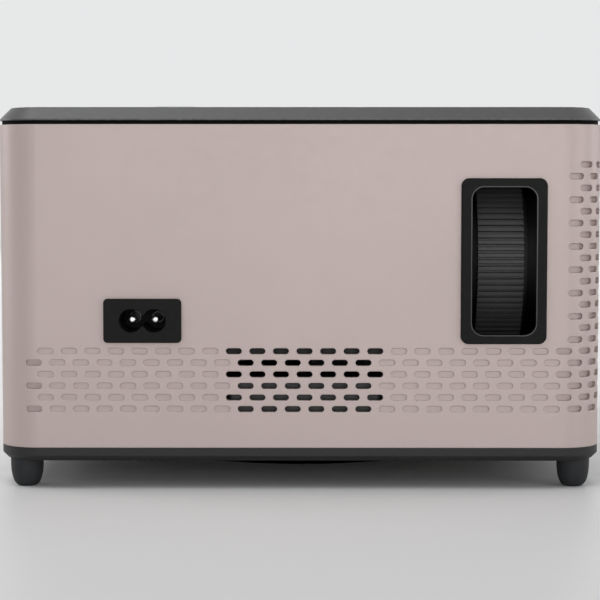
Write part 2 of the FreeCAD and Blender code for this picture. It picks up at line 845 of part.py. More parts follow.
# ---------------------------------------------------------------- mains, wheel and lens
def make_inlet():
    flange = side_prism(inlet_flange_width, inlet_flange_height, inlet_flange_radius, 0, trim_proud,
                        (inlet_x, -half_y, inlet_z), -90)
    body = side_prism(inlet_body_width, inlet_body_height, inlet_body_radius, inlet_body_depth, 0.1,
                      (inlet_x, -half_y, inlet_z), -90)
    mouth = []
    for side in (-1, 1):
        x = inlet_x + side * inlet_pin_spacing / 2
        mouth.append(rod((x, -half_y - 2, inlet_z), Y_DIR, inlet_cavity_depth + 2, inlet_lobe_radius))
    mouth.append(block(inlet_x - inlet_pin_spacing / 2, inlet_x + inlet_pin_spacing / 2, -half_y - 2,
                       -half_y + inlet_cavity_depth, inlet_z - inlet_waist / 2,
                       inlet_z + inlet_waist / 2))
    pins, sockets = [], []
    for side in (-1, 1):
        x = inlet_x + side * inlet_pin_spacing / 2
        start = -half_y + inlet_cavity_depth - inlet_pin_length
        end = -half_y + inlet_body_depth + inlet_tag_length
        pin = rod((x, start, inlet_z), Y_DIR, end - start, inlet_pin_radius)
        tip = [edge for edge in pin.Edges if edge.BoundBox.YMax < start + 1e-6]
        pin = pin.makeFillet(inlet_pin_round, tip)
        pins.append(pin)
        sockets.append(rod((x, start, inlet_z), Y_DIR, end - start, inlet_pin_radius))
    put("mains_inlet", joined(flange, body).cut(mouth).cut(sockets))
    put("inlet_pins", *pins)


def make_wheel_bezel():
    plate = side_prism(bezel_width, bezel_height, bezel_outer_radius, 0, trim_proud,
                       (bezel_x, -half_y, bezel_z), -90)
    rim = [edge for edge in plate.Edges if edge.BoundBox.YMax < -half_y - trim_proud + 1e-6]
    plate = plate.makeFillet(bezel_edge, rim)
    insert = side_prism(bezel_opening_width + 2 * bezel_insert_border,
                        bezel_opening_height + 2 * bezel_insert_border,
                        bezel_opening_radius - fit_gap, bezel_insert_depth, 0.2,
                        (bezel_x, -half_y, bezel_z), -90)
    opening = side_prism(bezel_opening_width, bezel_opening_height, bezel_opening_radius, 5, 5,
                         (bezel_x, -half_y, bezel_z), -90)
    put("wheel_bezel", joined(plate, insert).cut(opening))


def make_focus_ring():
    points = []
    root = wheel_radius - wheel_rib_height
    step = 2 * math.pi / wheel_ribs
    for rib in range(wheel_ribs):
        for share, radius in ((0.0, root), (0.1, wheel_radius), (0.58, wheel_radius), (0.68, root)):
            angle = (rib + share) * step
            points.append(V(0, radius * math.cos(angle), radius * math.sin(angle)))
    face = Part.Face(Part.makePolygon(points + [points[0]]))
    ribbed = face.extrude(V(wheel_width, 0, 0))
    ribbed.translate(V(wheel_x - wheel_width / 2, lens_y, lens_z))
    start = wheel_x - wheel_width / 2
    bore = rod((start - 1, lens_y, lens_z), X_DIR, wheel_width + 2, barrel_radius + run_gap)
    relief = rod((start + wheel_web, lens_y, lens_z), X_DIR, wheel_width - 2 * wheel_web,
                 barrel_radius + drive_pin_room)
    dish = tube((start + wheel_width - wheel_dish_depth, lens_y, lens_z), X_DIR, wheel_dish_depth + 1,
                wheel_radius - wheel_rim, barrel_radius + wheel_hub)
    shoulder = tube((start - 1, lens_y, lens_z), X_DIR, wheel_shoulder + 1, wheel_radius + 1,
                    wheel_radius - wheel_shoulder_step)
    put("focus_ring", ribbed.cut([bore, relief, dish, shoulder]))


def drive_angles():
    """Angles of the three drive pins about the lens axis."""
    return [90 + 120 * k for k in range(3)]


def make_barrel():
    shoulder = wheel_x + wheel_width / 2 + slide_gap
    profile = [(0, 0), (0, barrel_flange_radius), (barrel_flange_thickness, barrel_flange_radius),
               (barrel_flange_thickness, barrel_radius), (shoulder - engine_x1, barrel_radius),
               (shoulder - engine_x1, barrel_radius + barrel_shoulder),
               (shoulder - engine_x1 + 1.5, barrel_radius + barrel_shoulder),
               (shoulder - engine_x1 + 1.5, nose_radius), (nose_end - engine_x1, nose_radius),
               (nose_end - engine_x1, 0)]
    barrel = turned(profile, (engine_x1, lens_y, lens_z), X_DIR)
    bore_end = shoulder - 0.5
    cuts = [rod((engine_x1 - 1, lens_y, lens_z), X_DIR, bore_end - engine_x1 + 1, barrel_bore),
            rod((engine_x1, lens_y, lens_z), X_DIR, nose_end - engine_x1 + 1, nose_bore)]
    for angle in drive_angles():
        slot = centred(wheel_x, 0, barrel_radius, 2 * (focus_travel + drive_pin_radius + slide_gap),
                       2 * (drive_pin_radius + run_gap), 8)
        slot.rotate(V(0, 0, 0), X_DIR, angle)
        slot.translate(V(0, lens_y, lens_z))
        cuts.append(slot)
    collar = tube((wheel_x - wheel_width / 2 - slide_gap - 2.0, lens_y, lens_z), X_DIR, 2.0,
                  barrel_radius + barrel_shoulder, barrel_radius - 0.2)
    put("lens_barrel", barrel.fuse(collar).cut(cuts).removeSplitter())


def make_lens_cell():
    start = wheel_x - cell_half_length - 2
    end = wheel_x + wheel_width / 2 - focus_travel - 0.6
    front_tube = nose_bore - 2 * run_gap
    front_end = nose_end - focus_travel - 1.5
    cell = rod((start, lens_y, lens_z), X_DIR, end - start, barrel_bore - run_gap)
    cell = cell.fuse(rod((end - 1, lens_y, lens_z), X_DIR, front_end - end + 1, front_tube))
    bore = rod((start - 1, lens_y, lens_z), X_DIR, end - start - 1, barrel_bore - cell_wall)
    front_bore = rod((start, lens_y, lens_z), X_DIR, front_end - start + 1, front_tube - 1.5)
    cell = cell.cut([bore, front_bore])
    pins = []
    for angle in drive_angles():
        pin = rod((0, 0, barrel_bore - 1.2), Z_DIR, barrel_wall + 3.0, drive_pin_radius)
        pin.rotate(V(0, 0, 0), X_DIR, angle)
        pin.translate(V(wheel_x, lens_y, lens_z))
        pins.append(pin)
    put("lens_cell", cell.fuse(pins).removeSplitter())
    front = lens((front_end - 5.0, lens_y, lens_z), X_DIR, front_tube - 1.5 - run_gap, 2.4, 2.2, 1.2)
    rear = lens((start + 3.0, lens_y, lens_z), X_DIR, barrel_bore - cell_wall - run_gap, 2.6, 2.0, 2.4)
    put("lens_elements", front, rear)


def make_front_trim():
    ring = rod((half_x - front_ring_lip, lens_y, lens_z), X_DIR, front_ring_lip, front_ring_radius)
    depth = wall - front_ring_lip + front_ring_sleeve_depth
    sleeve = rod((half_x - front_ring_lip - depth, lens_y, lens_z), X_DIR, depth + 0.2, front_ring_sleeve)
    flare = turned([(-9, 0), (-9, nose_bore), (0, nose_bore + 0.6), (0.5, nose_bore + 0.9), (0.5, 0)],
                   (half_x, lens_y, lens_z), X_DIR)
    put("lens_trim", joined(ring, sleeve).cut(flare))
    window = side_prism(ir_width - fit_gap, ir_height - fit_gap, ir_radius - fit_gap / 2, wall, 0,
                        (half_x, ir_y, lens_z), 0)
    flange = side_prism(ir_width + 2 * ir_flange, ir_height + 2 * ir_flange, ir_radius, wall + 1.0,
                        -wall, (half_x, ir_y, lens_z), 0)
    put("ir_window", joined(window, flange))


# ---------------------------------------------------------------- light engine
def optic_plate(distance, thickness, border):
    """Upright plate across the light path, its edges in the housing's grooves."""
    half = engine_width / 2 - engine_wall + plate_groove - border
    low = engine_z0 + engine_wall - plate_groove + border
    y = lens_y + distance
    return block(engine_middle_x - half, engine_middle_x + half, y, y + thickness, low,
                 engine_z1 - fit_gap)


plate_places = ((field_lens_at, 1.6), (panel_at, 2.6), (collimator_at, 1.6), (heat_glass_at, 1.8))


def engine_posts():
    """Posts under the near end of the light engine."""
    inset = engine_post_radius + 0.4
    y = engine_y0 + 7.0
    return [(engine_x0 + inset, y), (engine_x1 + inset, y)]


def make_engine():
    housing = block(engine_x0, engine_x1, engine_y0, engine_y1, engine_z0, engine_z1)
    hollow = block(engine_x0 + engine_wall, engine_x1 - engine_wall, engine_y0 + engine_wall,
                   engine_y1 - engine_wall, engine_z0 + engine_wall, engine_z1 + 1)
    cuts = [hollow, rod((engine_x1 - engine_wall - 1, lens_y, lens_z), X_DIR, engine_wall + 2,
                        barrel_bore)]
    for distance, thickness in plate_places:
        y = lens_y + distance
        half = engine_width / 2 - engine_wall + plate_groove
        cuts.append(block(engine_middle_x - half, engine_middle_x + half, y - 0.1, y + thickness + 0.1,
                          engine_z0 + engine_wall - plate_groove, engine_z1 + 1))
    window = led_board + 2 * fit_gap
    cuts.append(centred(engine_middle_x, engine_y1, lens_z, window, 4 * engine_wall, window))
    cuts.append(block(duct_x0, duct_x1, duct_y0 + duct_wall, duct_y1 - duct_wall,
                      engine_z0 - 1, engine_z0 + engine_wall + 1))
    _left, (lug_x, lug_y) = engine_posts()
    lug = block(engine_x1 - 0.5, lug_x + engine_post_radius, lug_y - 4, lug_y + 4, engine_z0,
                engine_z0 + 3)
    ring_low = lens_y + condenser_at - condenser_seat
    ring = tube((engine_middle_x, ring_low, lens_z), Y_DIR, 3.0, engine_width / 2 - engine_wall + 0.2,
                condenser_radius - 1.5)
    ring = ring.common(block(engine_x0 + 1, engine_x1 - 1, ring_low - 1, ring_low + 9, engine_z0 + 1,
                             engine_z1 - 0.2))
    put("engine_housing", housing.cut(cuts).fuse([lug, ring]).removeSplitter())
    cover = block(engine_x0, engine_x1, engine_y0, engine_y1, engine_z1, engine_z1 + engine_cover_thickness)
    vents = [block(engine_middle_x - 18, engine_middle_x + 18, lens_y + panel_at + k * 2.4 - 1.6,
                   lens_y + panel_at + k * 2.4 - 0.4, engine_z1 - 1, engine_z1 + 9) for k in range(1, 4)]
    put("engine_cover", cover.cut(vents))

    reach = min(engine_width / 2, engine_nose) - engine_wall - mirror_thickness * 0.71 - seat_gap
    mirror = centred(0, 0, 0, 2 * reach * math.sqrt(2), mirror_thickness, engine_height - 5)
    mirror.translate(V(0, -mirror_thickness / 2, 0))
    mirror.rotate(V(0, 0, 0), Z_DIR, -45)
    mirror.translate(V(engine_middle_x, lens_y, engine_z0 + engine_wall + 0.1 + (engine_height - 5) / 2))
    put("fold_mirror", mirror)

    field, panel, collimator, heat = (optic_plate(distance, thickness, fit_gap)
                                      for distance, thickness in plate_places)
    put("optic_plates", field, collimator, heat)
    put("lcd_panel", panel)
    bulb = lens((engine_middle_x, lens_y + condenser_at, lens_z), Y_DIR, condenser_radius, 3.0, 6.0, 0.4)
    put("condenser_lens", bulb)

    board = centred(engine_middle_x, engine_y1 - 0.8, lens_z, led_board, 1.6, led_board)
    emitter = rod((engine_middle_x, engine_y1 - 2.6, lens_z), Y_DIR, 1.2, 6.5)
    put("led_module", joined(board, emitter))

    base = block(engine_x0 + 2, engine_x1 - 2, engine_y1, engine_y1 + sink_base,
                 lens_z - sink_half_height, lens_z + sink_half_height)
    fins = []
    span = engine_width - 4 - sink_fin_thickness
    for index in range(sink_fins):
        x = engine_x0 + 2 + span * index / (sink_fins - 1)
        fins.append(block(x, x + sink_fin_thickness, engine_y1 + sink_base - 0.2, engine_y1 + sink_depth,
                          lens_z - sink_half_height, lens_z + sink_half_height))
    put("heat_sink", joined(base, *fins))


def make_fan():
    x, z = engine_middle_x, lens_z
    frame = block(x - fan_size / 2, x + fan_size / 2, fan_y, fan_y + fan_depth, z - fan_size / 2,
                  z + fan_size / 2)
    bore = rod((x, fan_y - 1, z), Y_DIR, fan_depth + 2, fan_bore_radius)
    reach = fan_hole_spacing / 2
    holes = [rod((x + u * reach, fan_y - 1, z + v * reach), Y_DIR, fan_depth + 2, fan_hole_radius)
             for u in (-1, 1) for v in (-1, 1)]
    stator = rod((x, fan_y + fan_depth - fan_stator, z), Y_DIR, fan_stator, fan_hub_radius)
    shaft = rod((x, fan_y + 3, z), Y_DIR, fan_depth - 4, fan_shaft_radius)
    spokes = []
    for index in range(3):
        spoke = block(-1.5, 1.5, fan_y + fan_depth - fan_stator, fan_y + fan_depth, fan_hub_radius - 1,
                      fan_bore_radius + 0.5)
        spoke.rotate(V(0, 0, 0), Y_DIR, 120 * index + 30)
        spoke.translate(V(x, 0, z))
        spokes.append(spoke)
    put("fan_frame", frame.cut([bore] + holes).fuse([stator, shaft] + spokes).removeSplitter())
    put("fan_rotor", paddle_wheel(x, z))


def paddle_wheel(x, z):
    """Axial rotor of the exhaust fan: a cupped hub and tilted blades."""
    depth = fan_depth - fan_stator - 2 * blade_tip_gap
    hub = rod((0, 0, 0), Y_DIR, depth, fan_hub_radius)
    cup = tube((0, 2, 0), Y_DIR, depth, fan_hub_radius - 1.5, 3.2)
    root, tip = fan_hub_radius - 0.8, fan_bore_radius - 1.2
    blades = []
    for index in range(fan_blades):
        blade = centred(0, 0, 0, blade_width, blade_thickness, tip - root)
        blade.rotate(V(0, 0, 0), Z_DIR, blade_angle)
        blade.translate(V(0, depth / 2, (tip + root) / 2))
        blade.rotate(V(0, 0, 0), Y_DIR, 360 / fan_blades * index)
        blades.append(blade)
    limit = tube((0, 0.2, 0), Y_DIR, depth - 0.4, fan_bore_radius - blade_tip_gap, root)
    blades = [blade.common(limit) for blade in blades]
    rotor = hub.cut(cup).fuse(blades).cut(rod((0, -1, 0), Y_DIR, depth + 2, fan_shaft_radius + run_gap))
    rotor.translate(V(x, fan_y + blade_tip_gap, z))
    return rotor


def blower_posts():
    """Pads under the blower's corners."""
    reach = blower_size / 2 - 4
    return [(blower_x + u * reach, blower_y + v * reach) for u in (-1, 1) for v in (-1, 1)]


def make_blower():
    x, y, z = blower_x, blower_y, blower_z
    half = blower_size / 2
    case = rounded_prism(blower_size, blower_size, 4.0, z, z + blower_height, x, y)
    inside_low, inside_high = z + blower_skin, z + blower_height - blower_skin
    volute = post(x, y, inside_low, inside_high, impeller_radius + 2.5)
    mouth = block(x + half - blower_wall - blower_outlet, x + half - blower_wall, y, y + half + 1,
                  inside_low, inside_high)
    eye = post(x, y, z + 2, z + blower_height + 1, blower_eye_radius)
    case = case.cut([volute, mouth, eye])
    spindle = post(x, y, z + 0.6, z + blower_height - 2.5, blower_shaft_radius)
    put("blower_housing", case.fuse(spindle))
    low = inside_low + seat_gap
    high = inside_high - seat_gap
    hub = post(x, y, low, high - 2, 9.0)
    plate = post(x, y, low, low + 1.0, impeller_radius)
    vanes = []
    for index in range(impeller_vanes):
        vane = block(blower_eye_radius - 2.5, impeller_radius, -0.4, 0.4, low + 0.5, high)
        vane.rotate(V(blower_eye_radius, 0, 0), Z_DIR, 28)
        vane.rotate(V(0, 0, 0), Z_DIR, 360 / impeller_vanes * index)
        vane.translate(V(x, y, 0))
        vanes.append(vane)
    limit = post(x, y, low, high, impeller_radius)
    vanes = [vane.common(limit) for vane in vanes]
    wheel = hub.fuse([plate] + vanes).cut(post(x, y, low - 1, high + 1, blower_shaft_radius + run_gap))
    put("blower_impeller", wheel)


def make_ducts():
    elbow = block(duct_x0 - duct_wall, duct_x1 + duct_wall, duct_y0, duct_y1, blower_z, engine_z0 - 0.1)
    inside = block(duct_x0, duct_x1, duct_y0 + duct_wall, duct_y1 - duct_wall, blower_z + duct_wall,
                   engine_z0 + 1)
    inlet = block(duct_x0, duct_x1, duct_y0 - 1, duct_y0 + duct_wall + 1, blower_z + duct_wall,
                  blower_z + blower_height - duct_wall)
    start = fan_y + fan_depth + 0.1
    half = fan_size / 2
    square = block(engine_middle_x - half, engine_middle_x + half, start, inner_y - 0.1,
                   lens_z - half, lens_z + half)
    bore = block(engine_middle_x - half + duct_wall, engine_middle_x + half - duct_wall, start - 1,
                 inner_y + 1, lens_z - half + duct_wall, lens_z + half - duct_wall)
    put("air_ducts", elbow.cut([inside, inlet]), square.cut(bore))


# ---------------------------------------------------------------- boards, ports and speakers
def power_posts():
    """Posts under the mains board."""
    return [(x, y) for x in (-inner_x + 8, engine_x0 - 9) for y in (-inner_y + 10, -inner_y + 46)]


def make_power():
    z = power_board_z
    x0, x1 = -inner_x + 3, engine_x0 - 3.5
    y0, y1 = -inner_y + 5, -inner_y + 51
    board = block(x0, x1, y0, y1, z, z + board_skin)
    top = z + board_skin - 0.1
    lumps = [block(x0 + 4, x0 + 26, y0 + 22, y0 + 42, top, top + 17),
             post(x0 + 34, y0 + 33, top, top + 21, 7.0),
             post(x0 + 42.5, y0 + 16, top, top + 12, 3.5),
             block(x0 + 8, x0 + 22, y0 + 3, y0 + 15, top, top + 12),
             block(x0 + 27, x0 + 31, y0 + 4, y0 + 22, top, top + 14)]
    driver_z = frame_top + driver_lift
    bx0, bx1 = engine_x1 + 6, inner_x - 22
    by0, by1 = engine_y1 - 20, engine_y1 + 14
    driver = block(bx0, bx1, by0, by1, driver_z, driver_z + board_skin)
    dtop = driver_z + board_skin - 0.1
    coils = [post(bx0 + 10, by0 + 14, dtop, dtop + 9, 6.0), post(bx0 + 10, by0 + 27, dtop, dtop + 12, 4.0),
             block(bx0 + 20, bx0 + 26, by0 + 6, by0 + 28, dtop, dtop + 5)]
    put("power_board", board.fuse(lumps), driver.fuse(coils))


def driver_posts():
    """Frame studs under the lamp driver board."""
    return [(x, y) for x in (engine_x1 + 10, inner_x - 26) for y in (engine_y1 - 16, engine_y1 + 8)]


def main_board_posts():
    """Frame studs under the main board."""
    return [(x, y) for x in (-frame_half_width + 5, board_x1 - 4) for y in (loader_y0 + 5, board_y1 - 4)]


def port_list():
    """Ports in the rear panel: kind, place along Y, width and height."""
    start = panel_from + 9
    return [("metal", start, 15.2, 5.8), ("metal", start + 19, 15.2, 5.8), ("metal", start + 37, 13.4, 6.8),
            ("round", start + 50, 3.4, 3.4), ("round", start + 61, 3.4, 3.4)]


def make_boards_and_ports():
    board = block(board_x0, board_x1, board_y0, board_y1, board_z, board_z + board_skin)
    top = board_z + board_skin
    chips = [block(board_x0 + 22, board_x0 + 38, board_y0 + 22, board_y0 + 38, top - 0.1, top + 6),
             block(board_x0 + 22, board_x0 + 34, board_y0 + 46, board_y0 + 56, top - 0.1, top + 1.4),
             block(board_x0 + 24, board_x0 + 38, board_y0 + 62, board_y0 + 70, top - 0.1, top + 5)]
    put("main_board", board.fuse(chips))
    metal, round_ones, cuts = [], [], []
    out = -half_x + 0.4
    for kind, y, width, height in port_list():
        z = top + height / 2 + 0.05
        if kind == "metal":
            shell = block(out, board_x0 + 12, y - width / 2, y + width / 2, z - height / 2, z + height / 2)
            inner_w, inner_h = width / 2 - shell_skin, height / 2 - shell_skin
            mouth = block(out - 1, board_x0 + 9, y - inner_w, y + inner_w, z - inner_h, z + inner_h)
            blade = block(out + 1, board_x0 + 10, y - width / 2 + 2.4, y + width / 2 - 2.4, z - 0.7, z + 0.7)
            metal.append(joined(shell.cut(mouth), blade))
            cuts.append(centred(-half_x, y, z, 8, width + 2 * fit_gap, height + 2 * fit_gap))
        else:
            z = top + height + 0.05
            case = block(board_x0 - 0.5, board_x0 + 12, y - height, y + height, top + 0.05,
                         top + 0.05 + 2 * height)
            nose = rod((out, y, z), X_DIR, board_x0 - out, height - 0.4)
            bore = rod((out - 1, y, z), X_DIR, board_x0 + 8 - out, 1.8)
            round_ones.append(joined(case, nose).cut(bore))
            cuts.append(rod((-half_x - 1, y, z), X_DIR, 6, height - 0.4 + fit_gap))
    put("metal_ports", *metal)
    put("jack_sockets", *round_ones)
    middle = (-half_x, (panel_from + panel_to) / 2, (panel_z0 + panel_z1) / 2)
    panel = side_prism(panel_to - panel_from - 2 * fit_gap, panel_height - 2 * fit_gap,
                       panel_radius - fit_gap, panel_thickness + 0.4, -0.4, middle, 180)
    lip = side_prism(panel_to - panel_from + 2 * panel_lip, panel_height + 2 * panel_lip,
                     panel_radius + 1, wall + 1.2, -wall, middle, 180)
    put("rear_panel", joined(panel, lip).cut(cuts))


def make_speakers():
    frames, cones = [], []
    for side in (-1, 1):
        y = half_y - speaker_from_far
        face = side * inner_x
        half = speaker_size / 2
        inward = V(-side, 0, 0)
        start = (face, y, lens_z)
        flange = block(min(face, face - side * 1.5), max(face, face - side * 1.5), y - half, y + half,
                       lens_z - half, lens_z + half)
        basket = rod(start, inward, 9.0, half - 1.0)
        magnet = rod(start, inward, speaker_depth, 11.0)
        hollow = turned([(-1, 0), (-1, half - 2.4), (3.0, half - 2.4), (9.4, 7.4), (11.2, 7.4), (11.2, 0)],
                        start, inward)
        frames.append(joined(flange, basket, magnet).cut(hollow))
        cone = turned([(6.4, 0), (7.6, 6.0), (1.2, half - 2.7), (2.4, half - 2.7), (8.6, 6.6),
                       (10.6, 6.6), (10.6, 6.0), (8.4, 5.8), (7.2, 0)], start, inward)
        cones.append(cone)
    put("speaker_frames", *frames)
    put("speaker_cones", *cones)


def make_mid_frame():
    y0, y1 = loader_y0, inner_y - seat_gap
    plate = block(-frame_half_width, frame_half_width, y0, y1, frame_z, frame_top)
    grown, holes = [], []
    for side in (-1, 1):
        for y in (y0 + 8, y1 - 22):
            x_out = side * frame_half_width
            x_in = side * (frame_half_width - frame_leg)
            grown.append(block(min(x_out, x_in), max(x_out, x_in), y, y + leg_width, z_floor, frame_z + 0.5))
    for y in (y0 + 6, engine_y1 - 10):
        grown.append(block(engine_x0 + 4, engine_x1 - 4, y, y + 6, frame_top - 0.2, engine_z0))
    for x, y in main_board_posts():
        grown.append(post(x, y, frame_top - 0.2, board_z, stud_radius))
    for x, y in driver_posts():
        grown.append(post(x, y, frame_top - 0.2, frame_top + driver_lift, stud_radius))
    holes.append(post(0, spindle_y, frame_z - 1, frame_top + 1, clamp_cap_radius + 3))
    for y in (y0 + 26, y0 + 84):
        for side in (-1, 1):
            holes.append(centred(side * 40, y, frame_z, 34, 26, 6))
    put("mid_frame", plate.fuse(grown).cut(holes).removeSplitter())


# ---------------------------------------------------------------- disc loader
def loader_pads():
    """Bosses of the base that the loader is screwed to."""
    reach = loader_half_width - 8
    return [(u * reach, y) for u in (-1, 1) for y in (loader_y0 + 9, loader_y1 - 34)]


def toothed_disc(teeth, module, z0, z1, clearance):
    """Spur gear about the Z axis with involute teeth, its first tooth on +X."""
    pitch = teeth * module / 2
    root, tip = pitch - root_depth * module, pitch + tip_height * module
    pressure = math.radians(pressure_angle)
    base = pitch * math.cos(pressure)
    half = (math.pi * module / 2 - clearance) / 2 / pitch

    def half_angle(radius):
        local = math.acos(min(1.0, base / radius))
        return half + (math.tan(pressure) - pressure) - (math.tan(local) - local)

    flank = [(half_angle(base), root)]
    flank += [(half_angle(base + share * (tip - base)), base + share * (tip - base))
              for share in (0.0, 0.3, 0.6, 1.0)]
    outline = [(-angle, radius) for angle, radius in flank] + flank[::-1]
    points = []
    for tooth in range(teeth):
        middle = tooth * 2 * math.pi / teeth
        for angle, radius in outline:
            points.append(V(radius * math.cos(middle + angle), radius * math.sin(middle + angle), z0))
    face = Part.Face(Part.makePolygon(points + [points[0]]))
    return face.extrude(V(0, 0, z1 - z0))


def rack(x, y0, y1, first_gap, module, z0, z1, back, clearance, toward):
    """Straight rack along Y whose teeth point along X; toward is +1 or -1.

    x is the pitch line and first_gap the middle of one gap between teeth.
    """
    pitch = math.pi * module
    slope = math.tan(math.radians(pressure_angle))
    half = (pitch / 2 - clearance) / 2
    root, tip = x - toward * root_depth * module, x + toward * tip_height * module
    root_half = half + root_depth * module * slope
    tip_half = half - tip_height * module * slope
    points = [V(x - toward * back, y0, z0), V(root, y0, z0)]
    count = int((y1 - first_gap) / pitch) + int((first_gap - y0) / pitch) + 2
    start = first_gap - (int((first_gap - y0) / pitch) + 0.5) * pitch
    for tooth in range(count):
        middle = start + tooth * pitch
        if middle - root_half < y0 + 0.1 or middle + root_half > y1 - 0.1:
            continue
        points += [V(root, middle - root_half, z0), V(tip, middle - tip_half, z0),
                   V(tip, middle + tip_half, z0), V(root, middle + root_half, z0)]
    points += [V(root, y1, z0), V(x - toward * back, y1, z0)]
    face = Part.Face(Part.makePolygon(points + [points[0]]))
    return face.extrude(V(0, 0, z1 - z0))


def make_loader_chassis():
    w, z = loader_half_width, loader_z
    tub = block(-w, w, loader_y0, loader_y1, z, loader_top)
    inner = w - loader_wall
    hollow = block(-inner, inner, loader_y0 + loader_back_wall, loader_y1 + 1, z + loader_floor,
                   loader_top + 1)
    tub = tub.cut(hollow)
    grown, cuts = [], []
    back_wall_top = tray_z - 1.0
    cuts.append(block(-inner, inner, loader_y0 - 1, loader_y0 + loader_back_wall + 1, back_wall_top,
                      loader_top + 1))
    rail_out = inner + 0.5
    flange_low = tray_z - slide_gap
    flange_high = tray_z + tray_flange_height + slide_gap
    for side in (-1, 1):
        for low, high in ((flange_low - tray_rail, flange_low), (flange_high, flange_high + tray_hold_down)):
            a, b = side * (inner - tray_rail_reach), side * rail_out
            grown.append(block(min(a, b), max(a, b), loader_y0, loader_y1, low, high))
    for side in (-1, 1):
        x = side * (deck_half_width + 2.0 + 1.2)
        grown.append(block(x - 1.2, x + 1.2, deck_pin_y - 4, deck_pin_y + 4, z + loader_floor - 0.2,
                           cam_pin_z + 3.5))
    cuts.append(rod((-deck_half_width - 5, deck_pin_y, cam_pin_z), X_DIR, 2 * deck_half_width + 10,
                    deck_pin_radius + run_gap))
    rail_low, rail_high = z + loader_floor - 0.2, z + loader_floor + cam_rail_height
    far_y = cam_y + cam_thickness + slide_gap
    grown.append(block(-cam_rail_reach, cam_rail_reach, far_y, far_y + cam_rail, rail_low, rail_high))
    near_y = cam_y - slide_gap
    for x0, x1 in ((-cam_rail_reach, -cam_rail_break), (cam_rail_break, cam_rail_reach)):
        grown.append(block(x0, x1, near_y - cam_rail, near_y, rail_low, rail_high))
    grown.append(post(gear_x, gear_y, z + loader_floor - 0.2, gear_z + gear_thickness - 0.2,
                      gear_pin_radius))
    for x, y in loader_pads():
        cuts.append(post(x, y, z - 1, z + loader_floor + 1, screw_radius + fit_gap))
    cuts.append(block(-24, 24, deck_y0 + 8, spindle_y - 16, z - 1, z + loader_floor + 1))
    put("loader_chassis", tub.fuse(grown).cut(cuts).removeSplitter())


def make_tray():
    w = tray_half_width
    slab = block(-w, w, tray_y0, tray_y1, tray_z, tray_top)
    flange_top = tray_z + tray_flange_height
    flanges = [block(-w - tray_flange, -w + 0.5, tray_y0, tray_y1, tray_z, flange_top),
               block(w - 0.5, w + tray_flange, tray_y0, tray_y1, tray_z, flange_top)]
    pocket = post(0, spindle_y, tray_z + tray_floor, tray_top + 1, pocket_radius)
    small = post(0, spindle_y, tray_z + tray_floor - mini_pocket_depth, tray_top + 1,
                 mini_disc_radius + disc_play)
    slot_end = spindle_y + tray_slot_reach
    sw = tray_slot_half_width
    slot = block(-sw, sw, tray_y0 - 1, slot_end - sw, tray_z - 1, tray_top + 1)
    slot_round = post(0, slot_end - sw, tray_z - 1, tray_top + 1, sw)
    rack_room = block(sw - 1, sw + 9, tray_y0 - 1, spindle_y - 2, tray_z - 1, tray_z + 0.6)
    ribs = rack(rack_x, tray_y0 + 1, tray_y1 - 4, gear_y, tooth_module, gear_z + slide_gap,
                tray_z + 0.3, rack_back, tooth_gap, 1)
    body = slab.fuse(flanges).cut([pocket, small, slot, slot_round, rack_room]).fuse(ribs)
    put("disc_tray", body.removeSplitter())


def make_door():
    z = tray_z - door_below_tray + door_height / 2
    front = side_prism(2 * door_half_width, door_height, 0.9, half_y - door_y, trim_proud,
                       (0, half_y, z), 90)
    rim = [edge for edge in front.Edges if edge.BoundBox.YMin > half_y + trim_proud - 1e-6]
    put("tray_door", front.makeFillet(door_edge, rim))


def make_loading_drive():
    gear = toothed_disc(gear_teeth, tooth_module, gear_z, gear_z + gear_thickness, tooth_gap)
    pulley = post(0, 0, gear_z - pulley_thickness, gear_z + 0.1, pulley_radius)
    groove = tube((0, 0, gear_z - pulley_thickness + pulley_lip), Z_DIR, belt_groove, pulley_radius + 1,
                  pulley_radius - belt_thickness)
    bore = post(0, 0, gear_z - 5, gear_z + 5, gear_pin_radius + run_gap)
    wheel = gear.fuse(pulley).cut([groove, bore]).removeSplitter()
    wheel.translate(V(gear_x, gear_y, 0))
    put("tray_gear", wheel)

    motor_z = loader_z + loader_floor
    can = post(motor_x, motor_y, motor_z, motor_z + loading_motor_height, loading_motor_radius)
    can = can.makeFillet(1.2, upper_edges(can))
    shaft = post(motor_x, motor_y, motor_z + 1, gear_z, motor_shaft_radius)
    put("loading_motor", joined(can, shaft))

    low = gear_z - pulley_thickness
    small = post(motor_x, motor_y, low, gear_z, motor_pulley_radius)
    small_groove = tube((motor_x, motor_y, low + pulley_lip), Z_DIR, belt_groove,
                        motor_pulley_radius + 1, motor_pulley_radius - belt_thickness)
    put("motor_pulley", small.cut([small_groove, post(motor_x, motor_y, low - 1, gear_z + 1,
                                                      motor_shaft_radius + run_gap)]))
    belt = belt_loop((gear_x, gear_y, pulley_radius - belt_thickness + run_gap),
                     (motor_x, motor_y, motor_pulley_radius - belt_thickness + run_gap),
                     belt_thickness, low + pulley_lip + fit_gap, low + pulley_lip + belt_groove - fit_gap)
    put("drive_belt", belt)


